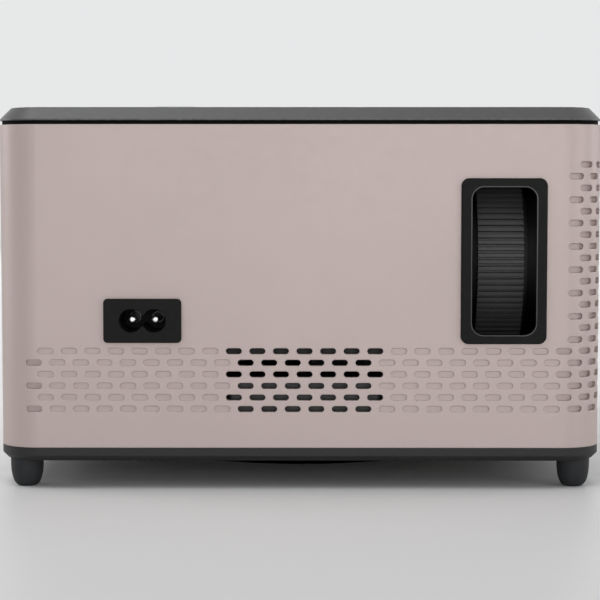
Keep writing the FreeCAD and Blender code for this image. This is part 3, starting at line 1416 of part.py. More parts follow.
def hull_of_circles(first, second, grow, z0, z1):
    """Upright prism of the outline that a belt takes round two pulleys."""
    (ax, ay, ar), (bx, by, br) = first, second
    ar, br = ar + grow, br + grow
    along = math.atan2(by - ay, bx - ax)
    lean = math.acos((ar - br) / math.hypot(bx - ax, by - ay))

    def on(cx, cy, r, angle):
        return V(cx + r * math.cos(angle), cy + r * math.sin(angle), z0)

    a_left, a_right = on(ax, ay, ar, along + lean), on(ax, ay, ar, along - lean)
    b_left, b_right = on(bx, by, br, along + lean), on(bx, by, br, along - lean)
    wire = Part.Wire([Part.makeLine(a_right, b_right),
                      Part.Arc(b_right, on(bx, by, br, along), b_left).toShape(),
                      Part.makeLine(b_left, a_left),
                      Part.Arc(a_left, on(ax, ay, ar, along + math.pi), a_right).toShape()])
    return Part.Face(wire).extrude(V(0, 0, z1 - z0))


def belt_loop(first, second, thickness, z0, z1):
    """Flat belt round two pulleys."""
    return hull_of_circles(first, second, thickness - 0.1, z0, z1).cut(
        hull_of_circles(first, second, 0.0, z0 - 1, z1 + 1))


def make_deck():
    w = deck_half_width
    frame = block(-w, w, deck_y0, deck_y1, deck_z, deck_level)
    under = block(-w + deck_wall, w - deck_wall, deck_y0 + 6.5, deck_y1 - deck_wall, deck_z - 1,
                  deck_level - deck_skin)
    over_rail = block(-cam_rail_reach - 1, cam_rail_reach + 1, deck_y1 - 2 * deck_wall, deck_y1 + 1,
                      deck_z - 1, deck_level - deck_skin)
    opening_y0 = sled_y - sled_travel - sled_length / 2 - 0.8
    opening_y1 = sled_y + sled_length / 2 + 0.8
    opening = block(-sled_half_width - 0.6, sled_half_width + 0.6, opening_y0, opening_y1, deck_z - 1,
                    deck_level + 1)
    motor_hole = post(0, spindle_y, deck_z - 1, deck_level + 1, 5.0)
    relief = post(0, spindle_y, deck_z - 1, deck_level - deck_skin, spindle_motor_radius + 0.5)
    pins = [rod((-w - deck_pin_length, deck_pin_y, cam_pin_z), X_DIR, deck_pin_length + 0.3,
                deck_pin_radius),
            rod((w - 0.3, deck_pin_y, cam_pin_z), X_DIR, deck_pin_length + 0.3, deck_pin_radius),
            rod((0, deck_y1 - deck_pin_root, cam_pin_z), Y_DIR,
                deck_pin_root + cam_gap + cam_thickness + 0.2, cam_pin_radius)]
    rail_bores = []
    ends = []
    for side in (-1, 1):
        x = side * rod_spacing / 2
        ends += [block(x - 2.6, x + 2.6, opening_y0 - 3.0, opening_y0 + 0.01, deck_z, deck_level),
                 block(x - 2.6, x + 2.6, opening_y1 - 0.01, opening_y1 + 3.0, deck_z, deck_level)]
        rail_bores.append(rod((x, opening_y0 - 2.5, cam_pin_z), Y_DIR, opening_y1 - opening_y0 + 5.0,
                              rod_radius))
    pinion_bore = post(pinion_x, pinion_y, deck_z - 1, deck_level + 1, 1.0 + run_gap)
    body = frame.cut([under, over_rail, opening, motor_hole, relief]).fuse(pins + ends)
    put("traverse_deck", body.cut(rail_bores + [pinion_bore]).removeSplitter())
    put("guide_rods", *[rod((side * rod_spacing / 2, opening_y0 - 2.5, cam_pin_z), Y_DIR,
                            opening_y1 - opening_y0 + 5.0, rod_radius) for side in (-1, 1)])

    face = tray_z + turntable_rise
    motor_top = deck_level - deck_skin
    can = post(0, spindle_y, deck_z + 0.2, motor_top, spindle_motor_radius)
    collar = post(0, spindle_y, motor_top - 0.1, deck_level + 0.8, 4.6)
    shaft = post(0, spindle_y, motor_top, face - 0.3, 1.0)
    pinion_motor = post(pinion_x, pinion_y, deck_z + 0.1, motor_top, 4.0)
    pinion_shaft = post(pinion_x, pinion_y, motor_top - 0.1, deck_level + 2.6, 1.0)
    put("traverse_motors", joined(can, collar, shaft), joined(pinion_motor, pinion_shaft))

    table = turned([(-2.0, 1.0 + run_gap), (-2.0, turntable_radius), (0, turntable_radius), (0, 8.0),
                    (0.5, 7.4), (1.9, 5.6), (1.9, 0), (-0.25, 0), (-0.25, 1.0 + run_gap)],
                   (0, spindle_y, face), Z_DIR)
    put("turntable", table)

    low, high = deck_z + 0.1, tray_z - 1.6
    body = block(-sled_half_width, sled_half_width, sled_y - sled_length / 2, sled_y + sled_length / 2,
                 low, high)
    bores = [rod((side * rod_spacing / 2, sled_y - sled_length, cam_pin_z), Y_DIR, 2 * sled_length,
                 rod_radius + run_gap) for side in (-1, 1)]
    lens_post = post(0, sled_y, high - 0.2, high + 1.2, 3.2)
    pitch_x = pinion_x - pinion_radius
    pinion_z = deck_level + pinion_lift
    bar = rack(pitch_x, sled_y - 10.0, sled_y - 1.0 + sled_travel, pinion_y, pinion_module,
               pinion_z, pinion_z + pinion_thickness, rack_back, pinion_gap, 1)
    put("optical_pickup", body.cut(bores).fuse([lens_post, bar]).removeSplitter())
    pinion = toothed_disc(pinion_teeth, pinion_module, pinion_z, pinion_z + pinion_thickness, pinion_gap)
    pinion.rotate(V(0, 0, 0), Z_DIR, 180)
    pinion = pinion.cut(post(0, 0, deck_level - 1, deck_level + 5, 1.0 + run_gap))
    pinion.translate(V(pinion_x, pinion_y, 0))
    put("sled_gear", pinion)


def make_cam():
    low = loader_z + loader_floor + 0.1
    slider = block(-cam_half_length, cam_half_length, cam_y, cam_y + cam_thickness, low, cam_pin_z + 4.5)
    drop = cam_slope * cam_travel
    half = cam_pin_radius + slide_gap / 2
    lean = math.atan(cam_slope)
    run = 1.0
    (x0, dz0), (x1, dz1) = (-run, run * cam_slope), (cam_travel + run, -drop - run * cam_slope)
    groove = block(0, math.hypot(x1 - x0, dz1 - dz0), -1, cam_thickness + 1, -half, half)
    groove.rotate(V(0, 0, 0), Y_DIR, math.degrees(lean))
    groove.translate(V(x0, cam_y, cam_pin_z + dz0))
    ends = [rod((x, cam_y - 1, cam_pin_z + dz), Y_DIR, cam_thickness + 2, half)
            for x, dz in ((x0, dz0), (x1, dz1))]
    put("cam_slider", slider.cut([groove] + ends))


def make_clamp():
    z = loader_top
    bridge = block(-loader_half_width, loader_half_width, spindle_y - clamp_width / 2,
                   spindle_y + clamp_width / 2, z, z + bridge_thickness)
    put("clamp_bridge", bridge.cut(post(0, spindle_y, z - 1, z + 2, clamp_neck_radius + run_gap)))
    low = tray_top + 0.3
    puck = turned([(low - z, 0), (low - z, clamp_radius), (-0.1, clamp_radius), (-0.1, clamp_neck_radius),
                   (1.1, clamp_neck_radius), (1.1, clamp_cap_radius), (2.0, clamp_cap_radius), (2.0, 0)],
                  (0, spindle_y, z), Z_DIR)
    put("clamp_puck", puck)


# ---------------------------------------------------------------- build
def build_all():
    for make in (make_sheath, make_base, make_feet, make_screws, make_tripod_insert, make_lid, make_keys,
                 make_keypad_board, make_inlet, make_wheel_bezel, make_focus_ring, make_barrel,
                 make_lens_cell, make_front_trim, make_engine, make_fan, make_blower, make_ducts,
                 make_power, make_boards_and_ports, make_speakers, make_mid_frame, make_loader_chassis,
                 make_tray, make_door, make_loading_drive, make_deck, make_cam, make_clamp):
        make()


build_all()
os.makedirs("parts", exist_ok=True)
for name, shape in parts.items():
    shape.exportStep(f"parts/{name}.step")
    print(f"{name:18s} solids {len(shape.Solids):2d}  volume {shape.Volume:10.1f}  valid {shape.isValid()}")
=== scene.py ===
"""Looks of a table-top projector with a built-in disc loader.

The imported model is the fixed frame, in metres, with the lens looking along +X and the
tray coming out along +Y. Each finish is a small frozen class that builds one procedural
material, each sub-assembly is a class that dresses its nodes and adds its own surfaces,
and the studio holds the floor, the lamps and the camera.
"""

import logging
import math
from dataclasses import dataclass, field
from enum import Enum
from functools import cached_property
from typing import Sequence

import bpy
import numpy as np
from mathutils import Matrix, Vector


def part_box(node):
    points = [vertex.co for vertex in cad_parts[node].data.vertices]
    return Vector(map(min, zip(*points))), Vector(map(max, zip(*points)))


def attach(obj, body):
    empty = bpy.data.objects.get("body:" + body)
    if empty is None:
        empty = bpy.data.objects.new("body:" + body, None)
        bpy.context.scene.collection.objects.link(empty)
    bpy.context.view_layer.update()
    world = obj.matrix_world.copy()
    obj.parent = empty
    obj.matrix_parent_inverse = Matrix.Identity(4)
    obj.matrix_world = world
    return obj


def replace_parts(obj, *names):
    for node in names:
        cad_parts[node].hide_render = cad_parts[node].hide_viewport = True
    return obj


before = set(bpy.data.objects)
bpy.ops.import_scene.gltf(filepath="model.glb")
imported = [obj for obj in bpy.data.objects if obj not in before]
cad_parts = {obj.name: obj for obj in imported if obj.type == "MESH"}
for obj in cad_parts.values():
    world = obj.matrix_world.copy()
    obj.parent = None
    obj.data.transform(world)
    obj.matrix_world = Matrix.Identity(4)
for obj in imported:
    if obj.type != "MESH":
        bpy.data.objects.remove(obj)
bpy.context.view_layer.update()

logging.basicConfig(level=logging.INFO, format="%(name)s: %(message)s")
LOG = logging.getLogger("projector_looks")

MM = 0.001
Colour = tuple[float, float, float]
DUST_COLOUR: Colour = (0.42, 0.40, 0.37)


def grey(tone: float) -> Colour:
    """Neutral colour.

    Args:
        tone: Value of all three channels.

    Returns:
        The colour.
    """
    return tone, tone, tone


# ---- node graphs
class Graph:
    """Adds nodes to one tree and links them as they are made."""

    def __init__(self, tree: bpy.types.NodeTree) -> None:
        """Keep the tree, of a material, a world or a group, that the nodes go into."""
        self.tree = tree

    def add(self, kind: str, inputs: dict | None = None, **settings: object) -> bpy.types.Node:
        """Add one node.

        Args:
            kind: Node type without its leading "ShaderNode", or a full identifier that starts with
                "Node".
            inputs: Values or source sockets by the input's name or number.
            settings: Attributes of the node itself.

        Returns:
            The new node.
        """
        name = kind if kind.startswith("Node") else "ShaderNode" + kind
        node = self.tree.nodes.new(name)
        for key, value in settings.items():
            setattr(node, key, value)
        for key, value in (inputs or {}).items():
            if isinstance(value, bpy.types.NodeSocket):
                self.tree.links.new(value, node.inputs[key])
            else:
                node.inputs[key].default_value = value
        return node

    def maths(self, operation: str, *values: object, clamp: bool = False) -> bpy.types.NodeSocket:
        """Add a Math node with numbers or sockets as its inputs, and give its result."""
        node = self.add("Math", dict(enumerate(values)), operation=operation, use_clamp=clamp)
        return node.outputs[0]

    def spread(self, value: bpy.types.NodeSocket, low: float, high: float, to_low: float = 0.0,
               to_high: float = 1.0) -> bpy.types.NodeSocket:
        """Map a range of a value smoothly onto another range.

        Args:
            value: Source socket.
            low: Value that becomes to_low.
            high: Value that becomes to_high.
            to_low: Start of the new range.
            to_high: End of the new range.

        Returns:
            The mapped socket.
        """
        node = self.add("MapRange", {"Value": value, "From Min": low, "From Max": high,
                                     "To Min": to_low, "To Max": to_high},
                        interpolation_type="SMOOTHSTEP")
        return node.outputs[0]

    def tinted(self, share: object, first: object, second: object) -> bpy.types.NodeSocket:
        """Mix two colours.

        Args:
            share: Number or socket, 0 for the first colour and 1 for the second.
            first: Colour triple or socket.
            second: Colour triple or socket.

        Returns:
            The mixed colour socket.
        """
        node = self.add("Mix", data_type="RGBA")
        for index, value in ((0, share), (6, first), (7, second)):
            if isinstance(value, bpy.types.NodeSocket):
                self.tree.links.new(value, node.inputs[index])
            else:
                node.inputs[index].default_value = value if index == 0 else (*value, 1.0)
        return node.outputs[2]

    def places(self, stretch: Colour = (1.0, 1.0, 1.0)) -> bpy.types.NodeSocket:
        """Object coordinates, scaled along each axis.

        Args:
            stretch: Factor along X, Y and Z.

        Returns:
            The vector socket.
        """
        source = self.add("TexCoord").outputs["Object"]
        if stretch == (1.0, 1.0, 1.0):
            return source
        return self.add("Mapping", {"Vector": source, "Scale": stretch}).outputs[0]

    def noise(self, spot: bpy.types.NodeSocket, scale: float | bpy.types.NodeSocket,
              detail: float = 2.0, roughness: float = 0.5) -> bpy.types.NodeSocket:
        """Add a noise texture and give its value."""
        return self.add("TexNoise", {"Vector": spot, "Scale": scale, "Detail": detail,
                                     "Roughness": roughness}).outputs[0]


def emptied(owner: bpy.types.Material | bpy.types.World) -> Graph:
    """Clear the node tree of a material or a world.

    Args:
        owner: The material or world.

    Returns:
        The graph of its tree.
    """
    owner.use_nodes = True
    owner.node_tree.nodes.clear()
    return Graph(owner.node_tree)


def link(data: bpy.types.ID) -> bpy.types.Object:
    """Put a mesh, lamp or camera into the scene.

    Args:
        data: The mesh, lamp or camera.

    Returns:
        Its object, of the same name.
    """
    thing = bpy.data.objects.new(data.name, data)
    bpy.context.scene.collection.objects.link(thing)
    return thing


def circle(count: int) -> np.ndarray:
    """Angles of equal steps round a circle.

    Args:
        count: Number of steps.

    Returns:
        Array of angles in radians.
    """
    return np.linspace(0.0, 2 * math.pi, count, endpoint=False)


class Effect(Graph):
    """Graph of a new shader group with named inputs and outputs."""

    def __init__(self, name: str, **inputs: float) -> None:
        """Make the group and its inputs.

        Args:
            name: Name of the group.
            inputs: Default of each input by its name.
        """
        super().__init__(bpy.data.node_groups.new(name, "ShaderNodeTree"))
        for label, default in inputs.items():
            self.socket(label, "INPUT", "NodeSocketFloat").default_value = default
        self.given = self.add("NodeGroupInput").outputs

    def socket(self, name: str, side: str, kind: str) -> bpy.types.NodeTreeInterfaceSocket:
        """Add a socket to the group's interface."""
        return self.tree.interface.new_socket(name=name, in_out=side, socket_type=kind)

    def close(self, **results: bpy.types.NodeSocket) -> bpy.types.NodeTree:
        """Make an output for each result and link it.

        Args:
            results: Source socket of each output by its name.

        Returns:
            The finished group.
        """
        for label, source in results.items():
            vector = source.type == "VECTOR"
            self.socket(label, "OUTPUT", "NodeSocketVector" if vector else "NodeSocketFloat")
        self.add("NodeGroupOutput", results)
        return self.tree


class Effects:
    """Shader effects that several finishes share, each built once when it is first asked for."""

    @cached_property
    def edge(self) -> bpy.types.NodeTree:
        """Softened edges: a normal rounded over a radius, and a mask of where it turns.

        Returns:
            Its group.
        """
        group = Effect("soft_edge", Radius=0.0003)
        bevel = group.add("Bevel", {"Radius": group.given["Radius"]}, samples=6).outputs[0]
        own = group.add("NewGeometry").outputs["Normal"]
        same = group.add("VectorMath", {0: bevel, 1: own}, operation="DOT_PRODUCT")
        turned = group.maths("SUBTRACT", 1.0, same.outputs["Value"], clamp=True)
        return group.close(Normal=bevel, Mask=group.spread(turned, 0.02, 0.3))

    @cached_property
    def grain(self) -> bpy.types.NodeTree:
        """Fine moulded or sprayed grain: two sizes of noise added together.

        Returns:
            Its group.
        """
        group = Effect("fine_grain", Scale=1500.0)
        spot, scale = group.places(), group.given["Scale"]
        fine = group.noise(spot, scale, 3.0, 0.6)
        wide = group.noise(spot, group.maths("MULTIPLY", scale, 0.23), 2.0)
        height = group.maths("ADD", fine, group.maths("MULTIPLY", wide, 0.5))
        return group.close(Height=height, Tone=group.spread(wide, 0.3, 0.7))

    @cached_property
    def mottle(self) -> bpy.types.NodeTree:
        """Slow variation of tone over a part, a few centimetres from light to dark.

        Returns:
            Its group.
        """
        group = Effect("slow_mottle", Scale=30.0)
        slow = group.noise(group.places(), group.given["Scale"], 2.0, 0.45)
        return group.close(Tone=group.spread(slow, 0.3, 0.7))

    @cached_property
    def dust(self) -> bpy.types.NodeTree:
        """Settled dust: the share of a surface that faces up, broken up by noise.

        Returns:
            Its group.
        """
        group = Effect("settled_dust", Amount=0.2, Scale=400.0)
        up = group.add("SeparateXYZ", {0: group.add("NewGeometry").outputs["Normal"]}).outputs["Z"]
        cloud = group.noise(group.places(), group.given["Scale"], 5.0, 0.7)
        lying = group.maths("MULTIPLY", group.spread(up, 0.35, 0.95),
                            group.spread(cloud, 0.42, 0.75))
        return group.close(Mask=group.maths("MULTIPLY", lying, group.given["Amount"], clamp=True))

    @cached_property
    def scratch(self) -> bpy.types.NodeTree:
        """Sparse hairlines: thin borders of stretched cells, where noise lets them show.

        Returns:
            Its group.
        """
        group = Effect("hairlines", Scale=60.0)
        cells = group.add("TexVoronoi", {"Vector": group.places((1.0, 1.0, 0.25)),
                                         "Scale": group.given["Scale"]}, feature="DISTANCE_TO_EDGE")
        line = group.spread(cells.outputs[0], 0.0, 0.006, 1.0, 0.0)
        patch = group.spread(group.noise(group.places(), 90.0, 1.0), 0.55, 0.7)
        return group.close(Mask=group.maths("MULTIPLY", line, patch))

    @cached_property
    def brush(self) -> bpy.types.NodeTree:
        """Drawn or rolled metal: noise stretched thirty times along Z.

        Returns:
            Its group.
        """
        group = Effect("drawn_metal", Scale=2500.0)
        streak = group.noise(group.places((1.0, 1.0, 0.03)), group.given["Scale"], 4.0)
        stain = group.noise(group.places(), 120.0, 2.0)
        return group.close(Height=streak, Tone=group.spread(stain, 0.3, 0.7))


EFFECTS = Effects()


# ---- finishes
@dataclass(frozen=True)
class Finish:
    """An opaque finish: toned colour, grain, softened edges lightened partly as wear and partly as
    painted highlight, dust and hairlines.

    Colours are linear. Scales are cells to the metre, and radii and reliefs are in metres.
    """

    name: str
    colour: Colour
    shade: Colour
    rough: float = 0.5
    rough_swing: float = 0.06
    metallic: float = 0.0
    coat: float = 0.0
    specular: float = 0.5
    mottle: float = 30.0
    grain: float = 2400.0
    relief: float = 1e-5
    edge: float = 0.2e-3
    # Lighter edge tone and its strength: partly wear, partly a painted highlight along the edges.
    wear_and_highlight_tone: Colour = grey(0.1)
    wear_and_highlight: float = 0.0
    dust: float = 0.1
    hairlines: float = 0.0
    hairline_cells: float = 55.0
    dust_cells: float = 500.0
    dust_rough: float = 0.4

    def pattern(self, graph: Graph) -> bpy.types.NodeSocket:
        """Base colour before wear and dust."""
        tone = place(graph, EFFECTS.mottle, Scale=self.mottle).outputs["Tone"]
        return graph.tinted(tone, self.shade, self.colour)

    def metal(self, graph: Graph) -> float | bpy.types.NodeSocket:
        """How metallic it is: a plain number, or a socket where it changes over the surface."""
        return self.metallic

    def height(self, graph: Graph) -> bpy.types.NodeSocket:
        """Relief of the surface, from 0 to about 1."""
        return place(graph, EFFECTS.grain, Scale=self.grain).outputs["Height"]

    def build(self) -> bpy.types.Material:
        """Make the material.

        Returns:
            Material with a Principled surface.
        """
        material = bpy.data.materials.new(self.name)
        graph = emptied(material)
        edge = place(graph, EFFECTS.edge, Radius=self.edge)
        grain = place(graph, EFFECTS.grain, Scale=self.grain)
        colour = self.pattern(graph)
        # Edges take the lighter tone: partly wear, partly a painted highlight along the edge.
        if self.wear_and_highlight:
            rubbed_and_lit = graph.maths("MULTIPLY", edge.outputs["Mask"], grain.outputs["Tone"])
            colour = graph.tinted(graph.maths("MULTIPLY", rubbed_and_lit, self.wear_and_highlight, clamp=True),
                                  colour, self.wear_and_highlight_tone)
        swing = graph.maths("MULTIPLY", grain.outputs["Tone"], self.rough_swing)
        rough = graph.maths("ADD", swing, self.rough - self.rough_swing / 2)
        if self.hairlines:
            lines = place(graph, EFFECTS.scratch, Scale=self.hairline_cells).outputs["Mask"]
            colour = graph.tinted(graph.maths("MULTIPLY", lines, self.hairlines), colour, self.wear_and_highlight_tone)
            rough = graph.maths("ADD", rough, graph.maths("MULTIPLY", lines, self.hairlines))
        if self.dust:
            fallen = place(graph, EFFECTS.dust, Amount=self.dust, Scale=self.dust_cells)
            lying = fallen.outputs["Mask"]
            colour = graph.tinted(lying, colour, DUST_COLOUR)
            rough = graph.maths("ADD", rough, graph.maths("MULTIPLY", lying, self.dust_rough),
                                clamp=True)
        bump = graph.add("Bump", {"Height": self.height(graph), "Distance": self.relief,
                                  "Normal": edge.outputs["Normal"]})
        surface = graph.add("BsdfPrincipled", {
            "Base Color": colour, "Roughness": rough, "Normal": bump.outputs[0],
            "Metallic": self.metal(graph), "Specular IOR Level": self.specular,
            "Coat Weight": self.coat, "Coat Roughness": 0.12})
        graph.add("OutputMaterial", {"Surface": surface.outputs[0]})
        return material


def place(graph: Graph, tree: bpy.types.NodeTree, **values: float) -> bpy.types.Node:
    """Place a shared effect in a material.

    Args:
        graph: Graph of the material.
        tree: The effect's node group.
        values: Its inputs by name.

    Returns:
        The group node.
    """
    node = graph.add("Group", node_tree=tree)
    for key, value in values.items():
        node.inputs[key].default_value = value
    return node


@dataclass(frozen=True)
class Layered(Finish):
    """Moulding painted black and mirror-dark below one level of an axis, as painted shade, and with
    pale ribs above another.
    """

    axis: str = "Z"
    painted_shade_top: float = 0.0
    rib_foot: float = 1.0
    painted_shade: Colour = grey(0.003)
    rib: Colour = (0.5, 0.5, 0.49)

    def level(self, graph: Graph) -> bpy.types.NodeSocket:
        """Coordinate along the axis, in metres."""
        return graph.add("SeparateXYZ", {0: graph.places()}).outputs[self.axis]

    def metal(self, graph: Graph) -> bpy.types.NodeSocket:
        """1 in the painted shade below the level, so that it mirrors no more than its own black,
        and 0 elsewhere.
        """
        return graph.maths("LESS_THAN", self.level(graph), self.painted_shade_top)

    def pattern(self, graph: Graph) -> bpy.types.NodeSocket:
        """Mottled colour between the two levels, painted shade below and rib colour above.

        Args:
            graph: Graph of the material.

        Returns:
            Colour socket.
        """
        colour = graph.tinted(self.metal(graph), super().pattern(graph), self.painted_shade)
        ribs = graph.maths("GREATER_THAN", self.level(graph), self.rib_foot)
        return graph.tinted(ribs, colour, self.rib)


@dataclass(frozen=True)
class Drawn(Finish):
    """Bare metal whose grain runs along Z."""

    metallic: float = 1.0
    dust: float = 0.0

    def height(self, graph: Graph) -> bpy.types.NodeSocket:
        """Relief of the drawing lines."""
        return place(graph, EFFECTS.brush, Scale=self.grain).outputs["Height"]

    def pattern(self, graph: Graph) -> bpy.types.NodeSocket:
        """Metal colour, stained a little."""
        tone = place(graph, EFFECTS.brush, Scale=self.grain).outputs["Tone"]
        return graph.tinted(tone, self.shade, self.colour)


@dataclass(frozen=True)
class Fibrous(Finish):
    """Pressed paper: short fibres as stretched noise on two crossed axes."""

    def height(self, graph: Graph) -> bpy.types.NodeSocket:
        """Relief of the crossed fibres."""
        return graph.maths("MAXIMUM", graph.noise(graph.places((1.0, 0.12, 1.0)), self.grain),
                           graph.noise(graph.places((1.0, 1.0, 0.12)), self.grain))


@dataclass(frozen=True)
class Board(Finish):
    """Circuit board: traces and pads on the lacquer, and darker packages above its skin."""

    skin_top: float = 0.0
    trace: Colour = (0.1, 0.3, 0.16)
    package: Colour = (0.02, 0.02, 0.022)
    pad: Colour = (0.75, 0.6, 0.3)
    trace_cells: float = 260.0
    package_cells: float = 70.0

    def pattern(self, graph: Graph) -> bpy.types.NodeSocket:
        """Borders of square-metric cells are the traces, and their centres the pads.

        Args:
            graph: Graph of the material.

        Returns:
            Colour socket.
        """
        where = graph.places()
        near, second = (
            graph.add("TexVoronoi", {"Vector": where, "Scale": self.trace_cells}, feature=feature,
                      distance="CHEBYCHEV").outputs["Distance"] for feature in ("F1", "F2"))
        line = graph.spread(graph.maths("SUBTRACT", second, near), 0.04, 0.12, 1.0, 0.0)
        dot = graph.spread(near, 0.07, 0.11, 1.0, 0.0)
        lacquer = graph.tinted(dot, graph.tinted(line, self.colour, self.trace), self.pad)
        height = graph.add("SeparateXYZ", {0: where}).outputs["Z"]
        above = graph.maths("GREATER_THAN", height, self.skin_top)
        lot = graph.add("TexVoronoi", {"Vector": where, "Scale": self.package_cells})
        body = graph.tinted(graph.maths("GREATER_THAN", lot.outputs["Distance"], 0.55),
                            self.package, self.shade)
        return graph.tinted(above, lacquer, body)


@dataclass(frozen=True)
class Clear:
    """Clear part: glass or plastic sheet with a faint film of smears and optional rings."""

    name: str
    colour: Colour
    rough: float = 0.03
    ior: float = 1.5
    coat: float = 0.0
    rings: float = 0.0
    ring_axis: Colour = grey(0.0)

    def build(self) -> bpy.types.Material:
        """Make the material.

        Returns:
            Material with a transmitting Principled surface.
        """
        material = bpy.data.materials.new(self.name)
        graph = emptied(material)
        smear = place(graph, EFFECTS.mottle, Scale=140.0).outputs["Tone"]
        rough = graph.maths("ADD", graph.maths("MULTIPLY", smear, 0.03), self.rough)
        sheet = graph.tinted(smear, tuple(0.96 * part for part in self.colour), self.colour)
        inputs = {"Base Color": sheet, "Roughness": rough, "IOR": self.ior,
                  "Transmission Weight": 1.0, "Coat Weight": self.coat, "Coat Roughness": 0.03,
                  "Coat Tint": (0.84, 0.82, 0.98, 1.0)}
        if self.rings:
            centred = graph.add("Mapping", {"Vector": graph.places(), "Location": self.ring_axis})
            wave = graph.add("TexWave", {"Vector": centred.outputs[0], "Scale": self.rings},
                             wave_type="RINGS", rings_direction="Y", wave_profile="SAW")
            bump = graph.add("Bump", {"Height": wave.outputs[1], "Distance": 6e-5})
            inputs["Normal"] = bump.outputs[0]
        surface = graph.add("BsdfPrincipled", inputs)
        graph.add("OutputMaterial", {"Surface": surface.outputs[0]})
        return material


def put_on(material: bpy.types.Material, node: str) -> None:
    """Give a CAD node a material.

    Args:
        material: The material.
        node: Name of the node.
    """
    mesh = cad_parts[node].data
    mesh.materials.clear()
    mesh.materials.append(material)
    LOG.info("dressed %s in %s", node, material.name)


def dress(finish: Finish | Clear, *nodes: str) -> bpy.types.Material:
    """Build a finish and give it to CAD nodes.

    Args:
        finish: The finish to build.
        nodes: Names of the nodes that wear it.

    Returns:
        The material, for pieces that share it.
    """
    material = finish.build()
    for node in nodes:
        put_on(material, node)
    return material


# ---- surfaces
def grid_quads(rows: int, columns: int, round_rows: bool, round_columns: bool) -> np.ndarray:
    """Quads between the neighbours of a grid, as indices row * columns + column.

    Args:
        rows: Number of rows.
        columns: Number of columns.
        round_rows: Whether the last row joins the first.
        round_columns: Whether the last column joins the first.

    Returns:
        Array of 4 indices a quad.
    """
    row = np.arange(rows if round_rows else rows - 1)[:, None]
    column = np.arange(columns if round_columns else columns - 1)[None, :]
    ahead, beside = (row + 1) % rows * columns, (column + 1) % columns
    row = row * columns
    corners = row + column, row + beside, ahead + beside, ahead + column
    return np.stack(corners, axis=-1).reshape(-1, 4)


def new_mesh(name: str, points: np.ndarray, faces: list, sharp: float = 180.0) -> bpy.types.Mesh:
    """Mesh of points and faces, smooth but for the edges past an angle.

    Args:
        name: Name of the mesh.
        points: Array of points.
        faces: Lists of indices.
        sharp: Least angle of a sharp edge, in degrees; 0 leaves the mesh flat shaded.

    Returns:
        The mesh.
    """
    mesh = bpy.data.meshes.new(name)
    mesh.from_pydata(points.reshape(-1, 3), [], faces)
    mesh.update()
    if sharp:
        mesh.shade_smooth()
    if 0 < sharp < 180:
        mesh.set_sharp_from_angle(angle=math.radians(sharp))
    return mesh


def woven_mesh(name: str, points: np.ndarray, round_rows: bool, round_columns: bool,
               caps: Sequence[Sequence[int]] = (), sharp: float = 180.0) -> bpy.types.Mesh:
    """Mesh of quads between the neighbours of a grid of points.

    Args:
        name: Name of the mesh.
        points: Array of rows by columns by 3, in metres.
        round_rows: Whether the last row joins the first.
        round_columns: Whether the last column joins the first.
        caps: Extra faces, as grid indices.
        sharp: Least angle of a sharp edge, in degrees.

    Returns:
        The mesh.
    """
    quads = grid_quads(*points.shape[:2], round_rows, round_columns).tolist()
    return new_mesh(name, points, quads + [list(cap) for cap in caps], sharp)


def settle(mesh: bpy.types.Mesh, body: str,
           material: bpy.types.Material) -> bpy.types.Object:
    """Turn a mesh into a piece that rides on a body.

    Args:
        mesh: The finished mesh, in place.
        body: Body that carries the piece.
        material: The finish.

    Returns:
        The new piece.
    """
    piece = link(mesh)
    mesh.materials.append(material)
    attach(piece, body)
    LOG.info("piece %s rides on %s with %d faces", piece.name, body, len(mesh.polygons))
    return piece


def turned_group(name: str, radius: np.ndarray, height: np.ndarray, middles: np.ndarray,
                 spokes: int = 32) -> bpy.types.Mesh:
    """Turned solids of one profile, one on each middle, closed by flat ends.

    A point is its middle, plus the profile's radius times the cosine and sine of its
    spoke's angle along X and Y, and the profile's height along Z.

    Args:
        name: Name of the mesh.
        radius: Radius of each row of the profile, from the lowest row up.
        height: Height of each row.
        middles: Array of x and y.
        spokes: Points on each circle.

    Returns:
        One mesh of all the solids, with sharp rims.
    """
    angle = circle(spokes)
    ring = np.stack([np.cos(angle), np.sin(angle), np.zeros(spokes)], axis=-1)
    profile = radius[:, None, None] * ring + height[:, None, None] * np.array([0.0, 0.0, 1.0])
    points = profile[None] + np.pad(middles, ((0, 0), (0, 1)))[:, None, None, :]
    rows, column = len(radius), np.arange(spokes)
    starts = np.arange(len(middles))[:, None] * rows * spokes
    quads = grid_quads(rows, spokes, False, True)[None] + starts[:, :, None]
    faces = quads.reshape(-1, 4).tolist() + (starts + column[::-1]).tolist()
    faces += (starts + (rows - 1) * spokes + column).tolist()
    return new_mesh(name, points, faces, 50)


def rounded_loop(width: float, height: float, radius: float, corner_points: int = 8) -> np.ndarray:
    """Rounded rectangle about the origin, as four quarter circles joined in order.

    Args:
        width: Size along the first axis.
        height: Size along the second axis.
        radius: Corner radius.
        corner_points: Points on each corner.

    Returns:
        Array of points and outward normals, 4 columns.
    """
    turn = np.linspace(0.0, math.pi / 2, corner_points)
    angle = (turn[None, :] + np.arange(4)[:, None] * math.pi / 2).reshape(-1)
    quadrant = np.repeat(np.arange(4), corner_points)
    side = np.where(np.isin(quadrant, (0, 3)), 1.0, -1.0)
    up = np.where(quadrant < 2, 1.0, -1.0)
    normal = np.stack([np.cos(angle), np.sin(angle)], axis=1)
    centre = np.stack([side * (width / 2 - radius), up * (height / 2 - radius)], axis=1)
    return np.hstack([centre + radius * normal, normal])


